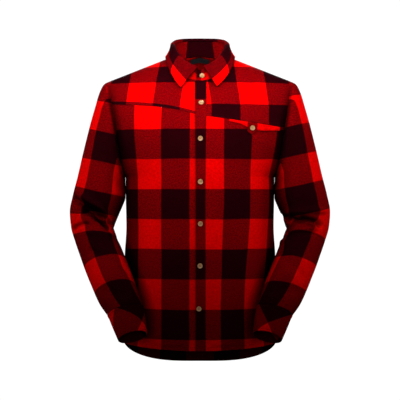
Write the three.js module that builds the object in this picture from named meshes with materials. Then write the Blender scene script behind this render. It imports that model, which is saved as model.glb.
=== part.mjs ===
// A long-sleeved check flannel shirt, filled out as if worn, with nobody in it.
// Millimetres, +Z up. The front faces -Y and the wearer's left is +X.
// The origin is the middle of the neck's base, between the shoulder seams, where a wearer holds the shirt up.

import * as THREE from "three";

// Driving sizes of the cut
const CLOTH = 1.5; // one layer of brushed flannel
const DOUBLE = 2.4; // two layers with interlining: collar, cuffs and placket
const SEAM = 0.3; // gap between pieces that meet at a seam
const LIFT = 0.3; // gap under a piece that lies on another
const UNDERARM = -300; // height of the underarm seam
const SHOULDER_END = { x: 230, y: 8, z: -48.5 };
const CHEST_HALF = 217; // the body's half width where the yoke seams run
const NECK_HALF = 82; // half the width of the neckline, on the shoulder seam
const FRONT_NECK_LEVEL = 1.8; // where the neckline crosses the front's middle line
const BACK_NECK_LEVEL = 1.9;
const PLACKET_WIDTH = 29;
const UNDERLAP = 12; // how far the right front runs on under the placket
const TOP_LEVEL = 2; // the shoulder seam

// The body's levels run from 0 at the hem, past 1 at the underarm, to 2 at the shoulder seam.
// A face's middle line, from the side and from the front.
const FRONT_MIDDLE = [
  { level: 0.0, height: -739, depth: -148 },
  { level: 0.25, height: -630, depth: -146 },
  { level: 0.5, height: -520, depth: -143 },
  { level: 0.75, height: -410, depth: -141 },
  { level: 1.0, height: -300, depth: -143 },
  { level: 1.25, height: -235, depth: -142 },
  { level: 1.5, height: -165, depth: -135 },
  { level: 1.75, height: -80, depth: -104 },
  { level: 1.88, height: -10, depth: -66 },
  { level: 1.94, height: 24, depth: -36 },
  { level: 2.0, height: 41, depth: -4 },
];
const BACK_MIDDLE = [
  { level: 0.0, height: -791, depth: 148 },
  { level: 0.25, height: -665, depth: 146 },
  { level: 0.5, height: -540, depth: 142 },
  { level: 0.75, height: -420, depth: 141 },
  { level: 1.0, height: -300, depth: 146 },
  { level: 1.25, height: -225, depth: 148 },
  { level: 1.5, height: -140, depth: 139 },
  { level: 1.75, height: -45, depth: 110 },
  { level: 1.9, height: 20, depth: 72 },
  { level: 1.95, height: 36, depth: 34 },
  { level: 2.0, height: 41, depth: -4 },
];

// Half the width: the side seam up to the underarm, then the armhole.
const SIDE = [
  { level: 0.0, half: 198 },
  { level: 0.25, half: 193 },
  { level: 0.5, half: 196 },
  { level: 0.7, half: 191.5 },
  { level: 0.88, half: 193 },
  { level: 1.0, half: 193.5 },
  { level: 1.25, half: 203 },
  { level: 1.5, half: 217 },
  { level: 1.75, half: 229.5 },
  { level: 2.0, half: 230 },
];
const SIDE_HEM = -728;
const TAIL = { power: 3, corner: 0.6, over: 0.6 }; // the back's hem drops round a corner at each side seam
// How far the armhole bows from the side seam, and how far, in degrees, a row has turned from the
// middle when it meets the armhole's widest place and the shoulder's end. A side seam meets it at 90.
const ARMHOLE = { frontDepth: 72, backDepth: 80, frontTurn: 62, backTurn: 66, shoulderTurn: 56 };

// Yoke seams across the two fronts: one line that falls from the wearer's right to the left.
const YOKE_SEAM_RIGHT = [
  { x: 0, height: -145 },
  { x: 50, height: -131 },
  { x: 121, height: -120 },
  { x: 225, height: -113 },
];
const YOKE_SEAM_LEFT = [
  { x: 0, height: -144 },
  { x: 119, height: -160 },
  { x: 213, height: -173 },
];
const BACK_YOKE_DROP = 1.6; // level of the back yoke seam

// The sleeve on the +X side: rings through an outer and an inner point, with the depth's half,
// the middle's place from front to back, and the ring's forward tilt in degrees.
const SLEEVE = [
  { outX: 230, outZ: -48.5, inX: 193.5, inZ: -300, midY: 4, depth: 76, tilt: 0 },
  { outX: 249, outZ: -58, inX: 196, inZ: -303, midY: 4, depth: 78, tilt: 0 },
  { outX: 262, outZ: -82, inX: 196, inZ: -308, midY: 4, depth: 78, tilt: 0 },
  { outX: 272.5, outZ: -117, inX: 195.5, inZ: -315, midY: 4, depth: 77, tilt: 0 },
  { outX: 283.5, outZ: -155, inX: 195, inZ: -324, midY: 4, depth: 75, tilt: 0 },
  { outX: 294.5, outZ: -198, inX: 194.4, inZ: -336, midY: 4, depth: 72, tilt: 0 },
  { outX: 306, outZ: -245, inX: 194.2, inZ: -352, midY: 3, depth: 69, tilt: 0 },
  { outX: 317.5, outZ: -295, inX: 202, inZ: -374, midY: 2, depth: 65, tilt: 0 },
  { outX: 330, outZ: -345, inX: 211.5, inZ: -398, midY: 1, depth: 62, tilt: 2 },
  { outX: 338, outZ: -390, inX: 220.5, inZ: -424, midY: 0, depth: 60, tilt: 7 },
  { outX: 335, outZ: -428, inX: 221, inZ: -437, midY: -6, depth: 57, tilt: 16 },
  { outX: 323.5, outZ: -466, inX: 215, inZ: -456, midY: -18, depth: 54, tilt: 23 },
  { outX: 308.5, outZ: -505, inX: 202, inZ: -484, midY: -38, depth: 51, tilt: 26 },
  { outX: 292, outZ: -546, inX: 185, inZ: -524, midY: -62, depth: 47, tilt: 28 },
  { outX: 272, outZ: -590, inX: 168, inZ: -564, midY: -89, depth: 43, tilt: 28 },
  { outX: 254, outZ: -624, inX: 154, inZ: -600, midY: -107, depth: 40, tilt: 27 },
  { outX: 234, outZ: -651, inX: 144, inZ: -629, midY: -118, depth: 38, tilt: 27 },
];
const CUFF = [
  { outX: 233, outZ: -652, inX: 143.6, inZ: -630, midY: -118.5, depth: 38, tilt: 27 },
  { outX: 220, outZ: -682, inX: 137.5, inZ: -663, midY: -131, depth: 37, tilt: 27 },
  { outX: 206, outZ: -712, inX: 133, inZ: -695, midY: -143, depth: 36, tilt: 27 },
];

// The collar's fold, as the top of its stand, from the front (0 degrees) to the back (180).
const FOLD = [
  { angle: 0, x: 0, y: -80, z: -27 },
  { angle: 20, x: 23, y: -76, z: -19 },
  { angle: 45, x: 49, y: -57, z: 2 },
  { angle: 70, x: 65, y: -24, z: 27 },
  { angle: 90, x: 69, y: 7, z: 41 },
  { angle: 120, x: 60, y: 40, z: 53 },
  { angle: 150, x: 35, y: 60, z: 57 },
  { angle: 180, x: 0, y: 66, z: 60 },
];
// The leaf's outer edge, lying on the yokes: how far out on each side, and its height.
const LEAF_EDGE = [
  { angle: 5, left: 39, right: 48, height: -75, bulge: 5 },
  { angle: 25, left: 55, right: 60, height: -60, bulge: 5 },
  { angle: 45, left: 70, right: 71, height: -40, bulge: 4 },
  { angle: 65, left: 82, right: 81, height: -17, bulge: 0 },
  { angle: 80, left: 87, right: 86, height: 0, bulge: -3 },
  { angle: 95, left: 88, right: 87, height: 8, bulge: -3 },
  { angle: 115, left: 83, right: 82, height: 3, bulge: 0 },
  { angle: 135, left: 69, right: 69, height: 4, bulge: 3 },
  { angle: 160, left: 37, right: 37, height: 7, bulge: 3 },
  { angle: 180, left: 0, right: 0, height: 8, bulge: 3 },
];
// The roll over the fold: out from the stand's outer face, and up from its top.
const ROLL = [
  { out: -DOUBLE, up: 0.4 },
  { out: -1.6, up: 3.6 },
  { out: 2, up: 6 },
  { out: 6, up: 3.8 },
];

const BUTTON = { radius: 6.35, height: 2.6, segments: 14 };
// Front buttons down the placket
const FRONT_BUTTONS = [
  { x: 3, height: -113 },
  { x: 1, height: -204 },
  { x: 1, height: -313 },
  { x: 1, height: -419 },
  { x: 0, height: -525 },
  { x: -3, height: -633 },
];
// The slanting pocket's welt under the left yoke, and the pointed tab that closes it
const WELT = [
  { x: 73, drop: 5 },
  { x: 105, drop: 8 },
  { x: 122, drop: 13 },
  { x: 150, drop: 17 },
  { x: 180, drop: 13 },
  { x: 203, drop: 9 },
];
const TAB = { x: 132, half: 11.6, sides: 22, point: 30, button: 15 };
const LABEL = { half: 25, top: 18.5, bottom: 6, lift: 1.2 };
const SLEEVE_PLACKET = { round: 0.74, half: 0.035, from: 13.2, to: 15.7 };

// Plain helpers

const radians = (degrees) => (degrees * Math.PI) / 180;
const mix = (a, b, t) => a + (b - a) * t;
const clamp = (t, low, high) => Math.min(high, Math.max(low, t));

// A smooth curve through a table's column that never swings past its values.
function along(table, key, column, at) {
  const n = table.length;
  const t = clamp(at, table[0][key], table[n - 1][key]);
  let i = 0;
  while (i < n - 2 && t > table[i + 1][key]) i++;
  const step = (k) => table[k + 1][key] - table[k][key];
  const rise = (k) => (table[k + 1][column] - table[k][column]) / step(k);
  const slope = (k) => {
    if (k === 0) return rise(0);
    if (k === n - 1) return rise(n - 2);
    const [a, b] = [rise(k - 1), rise(k)];
    return a * b <= 0 ? 0 : (2 * a * b) / (a + b);
  };
  const h = step(i);
  const s = (t - table[i][key]) / h;
  const [p, q] = [table[i][column], table[i + 1][column]];
  const [m, w] = [slope(i) * h, slope(i + 1) * h];
  return (
    p * (1 + 2 * s) * (1 - s) ** 2 +
    m * s * (1 - s) ** 2 +
    q * s * s * (3 - 2 * s) +
    w * s * s * (s - 1)
  );
}

const add = (p, q, times = 1) => [p[0] + q[0] * times, p[1] + q[1] * times, p[2] + q[2] * times];
const minus = (p, q) => add(p, q, -1);
const unit = (p) => {
  const size = Math.hypot(...p) || 1;
  return p.map((c) => c / size);
};
const cross = (a, b) => [
  a[1] * b[2] - a[2] * b[1],
  a[2] * b[0] - a[0] * b[2],
  a[0] * b[1] - a[1] * b[0],
];
const dot = (a, b) => a[0] * b[0] + a[1] * b[1] + a[2] * b[2];
const between = (a, b, t) => a.map((c, k) => mix(c, b[k], t));
const range = (count) => Array.from({ length: count + 1 }, (_, i) => i / count);
const ease = (t) => {
  const c = clamp(t, 0, 1);
  return c * c * (3 - 2 * c);
};

// The body

const MIDDLE_Y = 4; // the side seams' place from front to back
const ROUNDING = 0.8; // below one, the armhole is fuller than an oval
const STRAIGHTEN = 1.5; // rows above this level straighten towards the shoulder seam
const PROBE = 1e-4; // step for reading a surface's slope
const HALVINGS = 40; // steps when looking for the level at a height

// A row of the body: its middle, its edge and how it turns between them.
function bodyRow(face, level) {
  const front = face === "front";
  const table = front ? FRONT_MIDDLE : BACK_MIDDLE;
  const around = (clamp(level, 1, TOP_LEVEL) - 1) * Math.PI;
  const { y, z } = SHOULDER_END;
  const depth = front ? -ARMHOLE.frontDepth : ARMHOLE.backDepth;
  const onSide = level <= 1;
  const bow = Math.sin(around) ** ROUNDING;
  const widest = Math.cos(radians(front ? ARMHOLE.frontTurn : ARMHOLE.backTurn));
  const turned = Math.acos(widest * (level < STRAIGHTEN ? bow : 1));
  const straight = (level - STRAIGHTEN) / (TOP_LEVEL - STRAIGHTEN);
  const faded = front ? 1 : ease(level / TAIL.over);
  return {
    half: along(SIDE, "level", "half", level),
    turn: mix(turned, radians(ARMHOLE.shoulderTurn), Math.max(0, straight)),
    middleY: along(table, "level", "depth", level),
    middleZ: along(table, "level", "height", level),
    edgeY: onSide
      ? MIDDLE_Y
      : mix(MIDDLE_Y, y, around / Math.PI) + depth * bow,
    edgeZ: onSide
      ? mix(SIDE_HEM, UNDERARM, level)
      : (UNDERARM + z) / 2 + ((UNDERARM - z) / 2) * Math.cos(around),
    power: mix(mix(TAIL.power, 2, faded), 1, ease(straight)),
    corner: mix(TAIL.corner, 1, faded),
    seam: front ? -SEAM / 2 : SEAM / 2,
  };
}

// A point of the body's outside. share runs from -1 to 1 across it.
function bodyPoint(face, level, share) {
  const row = bodyRow(face, level);
  const out = Math.min(1, Math.abs(share));
  const angle = Math.asin(out * Math.sin(row.turn));
  const bend = (1 - Math.cos(angle)) / (1 - Math.cos(row.turn));
  return [
    row.half * clamp(share, -1, 1),
    mix(row.middleY, row.edgeY, bend) + row.seam,
    mix(row.edgeZ, row.middleZ, (1 - out ** row.power) ** row.corner),
  ];
}

// Its outward direction, from its own slope.
function bodySlope(face, level, share) {
  const up = level + PROBE > TOP_LEVEL ? level - PROBE : level;
  const side = share + PROBE > 1 ? share - PROBE : share;
  const p = bodyPoint(face, up, side);
  const rise = minus(bodyPoint(face, up + PROBE, side), p);
  const run = minus(bodyPoint(face, up, side + PROBE), p);
  const n = unit(cross(run, rise));
  return face === "front" ? n : n.map((c) => -c);
}

// The level at which a face's outside has this height.
function levelAt(face, share, height) {
  let [low, high] = [0, TOP_LEVEL];
  for (let i = 0; i < HALVINGS; i++) {
    const middle = (low + high) / 2;
    if (bodyPoint(face, middle, share)[2] < height) low = middle;
    else high = middle;
  }
  return (low + high) / 2;
}

// The sleeves

const rings = (table) => table.map((ring, at) => ({ ...ring, at }));
const SLEEVE_RINGS = rings(SLEEVE);
const CUFF_RINGS = rings(CUFF);
const HEAD_RINGS = 3; // rings over which the armhole's own shape fades out

// Folds at the elbow and above the cuff: at which ring, how far round (0 is the underarm seam, a
// quarter the front, a half the outside), how the line slants, its depth, width and reach.
const SLEEVE_FOLDS = [
  { ring: 9.2, round: 0.3, slant: 5.5, depth: -7, width: 0.42, reach: 0.17 },
  { ring: 8.5, round: 0.31, slant: 5.5, depth: 5, width: 0.42, reach: 0.17 },
  { ring: 10.1, round: 0.22, slant: -1.5, depth: -6, width: 0.4, reach: 0.14 },
  { ring: 10.8, round: 0.24, slant: -1.5, depth: 3.5, width: 0.45, reach: 0.15 },
  { ring: 9.6, round: 0.02, slant: 0, depth: -4, width: 0.5, reach: 0.12 },
  { ring: 9.8, round: 0.72, slant: 3, depth: 3, width: 0.8, reach: 0.15 },
  { ring: 12.6, round: 0.35, slant: 4, depth: -2.5, width: 0.6, reach: 0.14 },
  { ring: 14.6, round: 0.3, slant: -3, depth: 2.5, width: 0.6, reach: 0.16 },
];

function armholePoint(round) {
  const front = round <= Math.PI;
  const level = 1 + (front ? round : 2 * Math.PI - round) / Math.PI;
  return bodyPoint(front ? "front" : "back", level, 1);
}

function ringPoint(table, at, round) {
  const read = (column) => along(table, "at", column, at);
  const inner = [read("inX"), read("midY"), read("inZ")];
  const outer = [read("outX"), read("midY"), read("outZ")];
  const lean = radians(read("tilt"));
  const forward = [0, -Math.cos(lean), Math.sin(lean)];
  const across = between(inner, outer, (1 - Math.cos(round)) / 2);
  return add(across, forward, read("depth") * Math.sin(round));
}

// The plain sleeve, with the armhole's shape at its head.
function tubePoint(at, round) {
  const head = Math.max(0, 1 - at / HEAD_RINGS) ** 2;
  const p = ringPoint(SLEEVE_RINGS, at, round);
  const shift = minus(armholePoint(round), ringPoint(SLEEVE_RINGS, 0, round));
  return add(p, shift, head);
}

function slopeOf(point, at, round, last) {
  const up = at + PROBE > last ? at - PROBE : at;
  const p = point(up, round);
  const run = minus(point(up + PROBE, round), p);
  const turn = minus(point(up, round + PROBE), p);
  return unit(cross(run, turn));
}

const tubeSlope = (at, round) => slopeOf(tubePoint, at, round, SLEEVE_RINGS.length - 1);
const cuffPoint = (at, round) => ringPoint(CUFF_RINGS, at, round);
const cuffSlope = (at, round) => slopeOf(cuffPoint, at, round, CUFF_RINGS.length - 1);

function sleeveFold(at, round) {
  const share = round / (2 * Math.PI);
  const ends = ease(at / 2) * ease(SLEEVE_RINGS.length - 1 - at);
  return SLEEVE_FOLDS.reduce((sum, fold) => {
    const aside = share - fold.round - Math.round(share - fold.round);
    const line = (at - fold.ring - fold.slant * aside) / fold.width;
    return sum + ends * fold.depth * Math.exp(-line * line - (aside / fold.reach) ** 2);
  }, 0);
}

function sleevePoint(at, round) {
  return add(tubePoint(at, round), tubeSlope(at, round), sleeveFold(at, round));
}

// Where body and sleeve meet, both edges are cut along one shared direction, except at the underarm,
// where the two pieces turn back on each other.
const MEETING = radians(50);

function armholeCut(round, own) {
  const front = round <= Math.PI;
  const level = 1 + (front ? round : 2 * Math.PI - round) / Math.PI;
  const body = bodySlope(front ? "front" : "back", level, 1);
  const shared = unit(add(body, tubeSlope(0, round)));
  const fromUnderarm = Math.min(round, 2 * Math.PI - round);
  return unit(between(own, shared, ease(fromUnderarm / MEETING)));
}

// The direction in which a body panel's thickness is measured at a point.
function bodyNormal(face, level, share) {
  const own = bodySlope(face, level, Math.abs(share));
  let n = own;
  if (level >= TOP_LEVEL - PROBE) {
    const other = bodySlope(face === "front" ? "back" : "front", TOP_LEVEL, Math.abs(share));
    n = unit(add(own, other));
  }
  if (Math.abs(share) >= 1 - PROBE && level > 1) {
    const around = (level - 1) * Math.PI;
    n = armholeCut(face === "front" ? around : 2 * Math.PI - around, n);
  }
  return share < 0 ? [-n[0], n[1], n[2]] : n;
}

// Closed bodies

// A body from its corners and faces, turned so that it faces outward.
function solid(corners, faces) {
  let volume = 0;
  for (const [a, b, c] of faces) volume += dot(corners[a], cross(corners[b], corners[c]));
  const index = faces.flatMap(([a, b, c]) => (volume < 0 ? [a, c, b] : [a, b, c]));
  const geometry = new THREE.BufferGeometry();
  geometry.setAttribute("position", new THREE.Float32BufferAttribute(corners.flat(), 3));
  geometry.setIndex(index);
  return geometry;
}

// Cloth of one thickness from a grid of outside points and their outward directions.
function cloth(points, normals, thickness, wraps = false) {
  const [rows, columns] = [points.length, points[0].length];
  const spans = wraps ? columns : columns - 1;
  const inside = rows * columns;
  const at = (i, j) => i * columns + (j % columns);
  const outer = points.flat();
  const directions = normals.flat();
  const inner = outer.map((p, k) => add(p, directions[k], -thickness));
  const faces = [];
  const quad = (a, b, c, d) => faces.push([a, b, c], [a, c, d]);
  for (let i = 0; i < rows - 1; i++) {
    for (let j = 0; j < spans; j++) {
      const [a, b, c, d] = [at(i, j), at(i, j + 1), at(i + 1, j + 1), at(i + 1, j)];
      quad(a, b, c, d);
      quad(d + inside, c + inside, b + inside, a + inside);
    }
  }
  for (let j = 0; j < spans; j++) {
    const [a, b] = [at(0, j), at(0, j + 1)];
    quad(b, a, a + inside, b + inside);
    const [c, d] = [at(rows - 1, j), at(rows - 1, j + 1)];
    quad(c, d, d + inside, c + inside);
  }
  for (let i = 0; !wraps && i < rows - 1; i++) {
    const [a, b] = [at(i, 0), at(i + 1, 0)];
    quad(a, b, b + inside, a + inside);
    const [c, d] = [at(i, columns - 1), at(i + 1, columns - 1)];
    quad(d, c, c + inside, d + inside);
  }
  return solid([...outer, ...inner], faces);
}

// Directions from a grid's own shape, for pieces that stand free.
function gridNormals(points, sign) {
  const last = [points.length - 1, points[0].length - 1];
  return points.map((row, i) =>
    row.map((_, j) => {
      const [down, up] = [points[Math.max(0, i - 1)][j], points[Math.min(last[0], i + 1)][j]];
      const [left, right] = [row[Math.max(0, j - 1)], row[Math.min(last[1], j + 1)]];
      return unit(cross(minus(right, left), minus(up, down))).map((c) => c * sign);
    }),
  );
}

// Body panels

const LEVEL_HEIGHT = 300; // mm from one level to the next, at the yokes' seams
const SEAM_SHARE = SEAM / 2 / LEVEL_HEIGHT; // half a seam's gap, in levels
const PLACKET_LEFT = -12.6;
const PLACKET_RIGHT = PLACKET_LEFT + PLACKET_WIDTH;
const RECESS = 2.2; // how far the right front steps back to pass under the placket
const RECESS_END = -34;
const RECESS_EDGE = 4; // the step is whole this far outside the placket
const NECK_SHARE = NECK_HALF / SHOULDER_END.x;
const COLUMNS = { front: 10, yoke: 4, neck: 8, back: 11 };
const ROWS = { below: 9, above: 6, yoke: 7 };

// The neckline as a level: an oval that drops from the shoulder seam to the middle.
function neckLevel(face, share) {
  const bottom = face === "front" ? FRONT_NECK_LEVEL : BACK_NECK_LEVEL;
  const out = Math.min(1, Math.abs(share) / NECK_SHARE);
  return TOP_LEVEL - (TOP_LEVEL - bottom) * Math.sqrt(1 - out * out);
}

function yokeLevel(face, share) {
  if (face === "back") return BACK_YOKE_DROP;
  const table = share < 0 ? YOKE_SEAM_RIGHT : YOKE_SEAM_LEFT;
  const out = Math.abs(share);
  return levelAt("front", out, along(table, "x", "height", out * CHEST_HALF));
}

// The right front steps back under the placket.
function frontStep(p) {
  const step = RECESS * ease((p[0] - RECESS_END) / (PLACKET_LEFT - RECESS_EDGE - RECESS_END));
  return [p[0], p[1] + step, p[2]];
}

function panel(face, shares, levels, onRight = false) {
  const spots = levels.map((level) => shares.map((share) => [level(share), share]));
  const points = spots.map((row) =>
    row.map(([level, share]) => {
      const p = bodyPoint(face, level, share);
      return onRight ? frontStep(p) : p;
    }),
  );
  const normals = spots.map((row) => row.map(([level, share]) => bodyNormal(face, level, share)));
  return cloth(points, normals, CLOTH);
}

// Shares spaced evenly round the body from an inner edge to the side.
function sharesFrom(edge, count) {
  const first = Math.asin(edge / SHOULDER_END.x);
  return range(count).map((t) => Math.sin(mix(first, Math.PI / 2, t)));
}

function lowerLevels(face) {
  const below = range(ROWS.below).map((t) => () => t);
  const above = range(ROWS.above)
    .slice(1)
    .map((t) => (share) => mix(1, yokeLevel(face, share) - SEAM_SHARE, t));
  return [...below, ...above];
}

function yokeLevels(face) {
  const top = (share) => (Math.abs(share) < NECK_SHARE ? neckLevel(face, share) : TOP_LEVEL);
  return range(ROWS.yoke).map(
    (t) => (share) => mix(yokeLevel(face, share) + SEAM_SHARE, top(share), t),
  );
}

// Shares from a front's inner edge to the neck point, close together there, then on to the armhole.
function yokeShares(edge) {
  const first = Math.asin(edge / NECK_HALF);
  const neck = range(COLUMNS.neck).map((t) => NECK_SHARE * Math.sin(mix(first, Math.PI / 2, t)));
  const rest = range(COLUMNS.yoke).slice(1);
  return [...neck, ...rest.map((t) => mix(NECK_SHARE, 1, t))];
}

const leftEdge = PLACKET_RIGHT + SEAM;
const minusShares = (shares) => shares.map((share) => -share).reverse();
const rightShares = (shares) => {
  const under = UNDERLAP / SHOULDER_END.x;
  return [...minusShares(shares), 0, under];
};
const evenly = (count) => range(count).map((t) => Math.sin((t - 1 / 2) * Math.PI));
const backNeck = minusShares(yokeShares(0));

// Colours only tell the pieces apart here
const PALETTE = {
  check: 0xb01016,
  dark: 0x1a0506,
  label: 0x101010,
  button: 0xb98a5a,
};
const materials = Object.fromEntries(
  Object.entries(PALETTE).map(([name, color]) => [
    name,
    new THREE.MeshStandardMaterial({ name, color, roughness: 0.9 }),
  ]),
);

const shirt = new THREE.Group();
shirt.name = "flannel_shirt";

function piece(name, geometry, material) {
  const mesh = new THREE.Mesh(geometry, materials[material].clone());
  mesh.name = name;
  shirt.add(mesh);
}

const frontShares = sharesFrom(leftEdge, COLUMNS.front);
const rightInner = sharesFrom(-RECESS_END / 2, COLUMNS.front);
piece("front_left", panel("front", frontShares, lowerLevels("front")), "check");
piece(
  "front_right",
  panel("front", rightShares(rightInner), lowerLevels("front"), true),
  "check",
);
piece("yoke_front_left", panel("front", yokeShares(leftEdge), yokeLevels("front")), "check");
piece(
  "yoke_front_right",
  panel("front", rightShares(yokeShares(-RECESS_END / 2)), yokeLevels("front"), true),
  "check",
);
piece("back", panel("back", evenly(COLUMNS.back * 2), lowerLevels("back")), "check");
piece(
  "back_yoke",
  panel("back", [...backNeck.slice(0, -1), ...yokeShares(0)], yokeLevels("back")),
  "check",
);

// Sleeves and cuffs

const CUFF_GAP = 0.4;
const SLEEVE_STATIONS = [0, 0.6, 1.3, 2.2, 3.4, 4.8, 6.2, 7.4, 8.2, 8.9, 9.4, 9.9, 10.4, 10.9];
const FOREARM_STATIONS = [11.6, 12.4, 13.2, 14, 14.8, 15.4, 16];
const CUFF_STATIONS = [0, 0.5, 1, 1.5, 2];
const mirrored = (rows) => rows.map((row) => row.map(([x, y, z]) => [-x, y, z]));

// Angles round the armhole, at the rows of the panels that end there.
function armholeRounds(side) {
  const levels = (face) => {
    const seam = yokeLevel(face, side);
    const lower = range(ROWS.above).map((t) => mix(1, seam, t));
    return [...lower, ...range(ROWS.yoke).slice(1).map((t) => mix(seam, TOP_LEVEL, t))];
  };
  const front = levels("front").map((level) => (level - 1) * Math.PI);
  const back = levels("back").map((level) => (3 - level) * Math.PI);
  return [...front, ...back.slice(1, -1).reverse()];
}

function sleeveGrid(rounds) {
  const stations = [...SLEEVE_STATIONS, ...FOREARM_STATIONS];
  const points = stations.map((at) =>
    rounds.map((round) => {
      const p = sleevePoint(at, round);
      if (at > 0) return p;
      return add(p, unit(minus(tubePoint(PROBE, round), p)), SEAM);
    }),
  );
  const normals = stations.map((at) =>
    rounds.map((round) => {
      const own = tubeSlope(at, round);
      return at > 0 ? own : armholeCut(round, own);
    }),
  );
  return { points, normals };
}

function cuffGrid(rounds) {
  return {
    points: CUFF_STATIONS.map((at) =>
      rounds.map((round) => add(cuffPoint(at, round), cuffSlope(at, round), CUFF_GAP)),
    ),
    normals: CUFF_STATIONS.map((at) => rounds.map((round) => cuffSlope(at, round))),
  };
}

const SIDES = [
  { name: "left", sign: 1, turned: (grid) => grid },
  { name: "right", sign: -1, turned: mirrored },
];
for (const side of SIDES) {
  const rounds = armholeRounds(side.sign);
  const sleeve = sleeveGrid(rounds);
  const body = cloth(side.turned(sleeve.points), side.turned(sleeve.normals), CLOTH, true);
  piece(`sleeve_${side.name}`, body, "check");
  const cuff = cuffGrid(rounds);
  const band = cloth(side.turned(cuff.points), side.turned(cuff.normals), DOUBLE, true);
  piece(`cuff_${side.name}`, band, "check");
}

// The placket, made from the front's points and moved out

const PROUD = 0.9; // how far the placket stands out from the front
const placketShares = range(2).map((t) => mix(PLACKET_LEFT, PLACKET_RIGHT, t) / SHOULDER_END.x);
const placketLevels = [...lowerLevels("front"), ...yokeLevels("front").slice(1)];

function raised(spots, lift, thickness, out = 1) {
  const points = spots.map((row) =>
    row.map(([level, share]) =>
      add(bodyPoint(spots.face, level, share), bodyNormal(spots.face, level, share), lift),
    ),
  );
  const normals = spots.map((row) =>
    row.map(([level, share]) => bodyNormal(spots.face, level, share).map((c) => c * out)),
  );
  return cloth(points, normals, thickness);
}

const onFace = (face, rows) => Object.assign(rows, { face });
const placketSpots = placketLevels.map((level) =>
  placketShares.map((share) => [level(Math.abs(share)) - SEAM_SHARE, share]),
);
placketSpots[0] = placketShares.map((share) => [0, share]);
piece("placket", raised(onFace("front", placketSpots), PROUD, DOUBLE), "check");

// The collar

const STAND_GAP = 1.3; // the stand steps over the lapped fronts
const STAND_ROWS = 3;
const STAND_END = { left: -6.3, right: 368.4 }; // degrees: the left end laps over the right
const TUCK = { from: 318, over: 28, depth: 3.4 }; // where the right end steps back to pass under
const LEAF_ENDS = { left: 8.5, right: 354.8, inset: 4 };
const LEAF_ROWS = 5;
const LEAF_LIFT = DOUBLE + 1.2;
const FULL_TURN = 360;

const half = (angle) => {
  const turned = ((angle % FULL_TURN) + FULL_TURN) % FULL_TURN;
  return turned > FULL_TURN / 2 ? [FULL_TURN - turned, -1] : [turned, 1];
};

function tuck(angle) {
  return TUCK.depth * ease((angle - TUCK.from) / TUCK.over);
}

function neckPoint(angle) {
  const [turned, side] = half(angle);
  const share = NECK_SHARE * Math.sin(radians(turned));
  const face = turned <= 90 ? "front" : "back";
  const [x, y, z] = bodyPoint(face, neckLevel(face, share), share);
  return [x * side, y + tuck(angle), z + STAND_GAP];
}

function foldPoint(angle) {
  const [turned, side] = half(angle);
  const read = (column) => along(FOLD, "angle", column, turned);
  return [read("x") * side, read("y") + tuck(angle), read("z")];
}

const quarter = (from, to) => range(COLUMNS.neck).map((t) => mix(from, to, t));
const degrees = (x) => (Math.asin(x / NECK_HALF) * 180) / Math.PI;
const backSteps = range(COLUMNS.neck * 2).map((t) => mix(90, 270, t));
const standAngles = [
  STAND_END.left,
  0,
  ...quarter(degrees(leftEdge), 90).slice(0, -1),
  ...backSteps.slice(0, -1),
  ...quarter(270, FULL_TURN - degrees(-RECESS_END / 2)),
  FULL_TURN,
  STAND_END.right,
];
const standPoints = range(STAND_ROWS).map((t) =>
  standAngles.map((angle) => between(neckPoint(angle), foldPoint(angle), t)),
);
piece("collar_stand", cloth(standPoints, gridNormals(standPoints, 1), DOUBLE), "check");

function leafEdge(angle) {
  const [turned, side] = half(angle);
  const x = along(LEAF_EDGE, "angle", side > 0 ? "left" : "right", turned);
  const height = along(LEAF_EDGE, "angle", "height", turned);
  const face = turned <= 90 ? "front" : "back";
  const share = x / SHOULDER_END.x;
  const level = Math.min(levelAt(face, share, height), TOP_LEVEL);
  const p = add(bodyPoint(face, level, share), bodyNormal(face, level, share), LEAF_LIFT);
  return [p[0] * side, p[1], p[2]];
}

// The direction out of the neck at an angle round the fold.
function outOfNeck(angle) {
  const ahead = foldPoint(angle + 1);
  const behind = foldPoint(angle - 1);
  return unit([ahead[1] - behind[1], behind[0] - ahead[0], 0]);
}

function leafColumn(angle) {
  const fold = foldPoint(angle);
  const out = outOfNeck(angle);
  const roll = ROLL.map((step) => add(add(fold, out, step.out), [0, 0, 1], step.up));
  const from = roll[ROLL.length - 1];
  const to = leafEdge(angle);
  const bulge = along(LEAF_EDGE, "angle", "bulge", half(angle)[0]);
  const fall = range(LEAF_ROWS)
    .slice(1)
    .map((t) => add(between(from, to, t), out, bulge * 4 * t * (1 - t)));
  return [...roll, ...fall];
}

const leafAngles = [
  LEAF_ENDS.left,
  ...standAngles.filter(
    (angle) => angle > LEAF_ENDS.left + LEAF_ENDS.inset && angle < LEAF_ENDS.right - LEAF_ENDS.inset,
  ),
  LEAF_ENDS.right,
];
const leafColumns = leafAngles.map(leafColumn);
const leafPoints = leafColumns[0].map((_, i) => leafColumns.map((column) => column[i]));
piece("collar_leaf", cloth(leafPoints, gridNormals(leafPoints, 1), DOUBLE), "check");

// The pocket's welt and tab, and the neck label

const leftHeight = (x) => along(YOKE_SEAM_LEFT, "x", "height", x);

function strip(spots, lift, thickness) {
  const placed = spots.map((row) =>
    row.map(([x, height]) => [levelAt("front", x / CHEST_HALF, height), x / CHEST_HALF]),
  );
  return raised(onFace("front", placed), lift, thickness);
}

const weltXs = range(10).map((t) => mix(WELT[0].x, WELT[WELT.length - 1].x, t));
const weltSpots = range(2).map((t) =>
  weltXs.map((x) => [x, leftHeight(x) - 1 - (1 - t) * along(WELT, "x", "drop", x)]),
);
piece("pocket_welt", strip(weltSpots, LIFT + CLOTH, CLOTH), "check");

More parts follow.
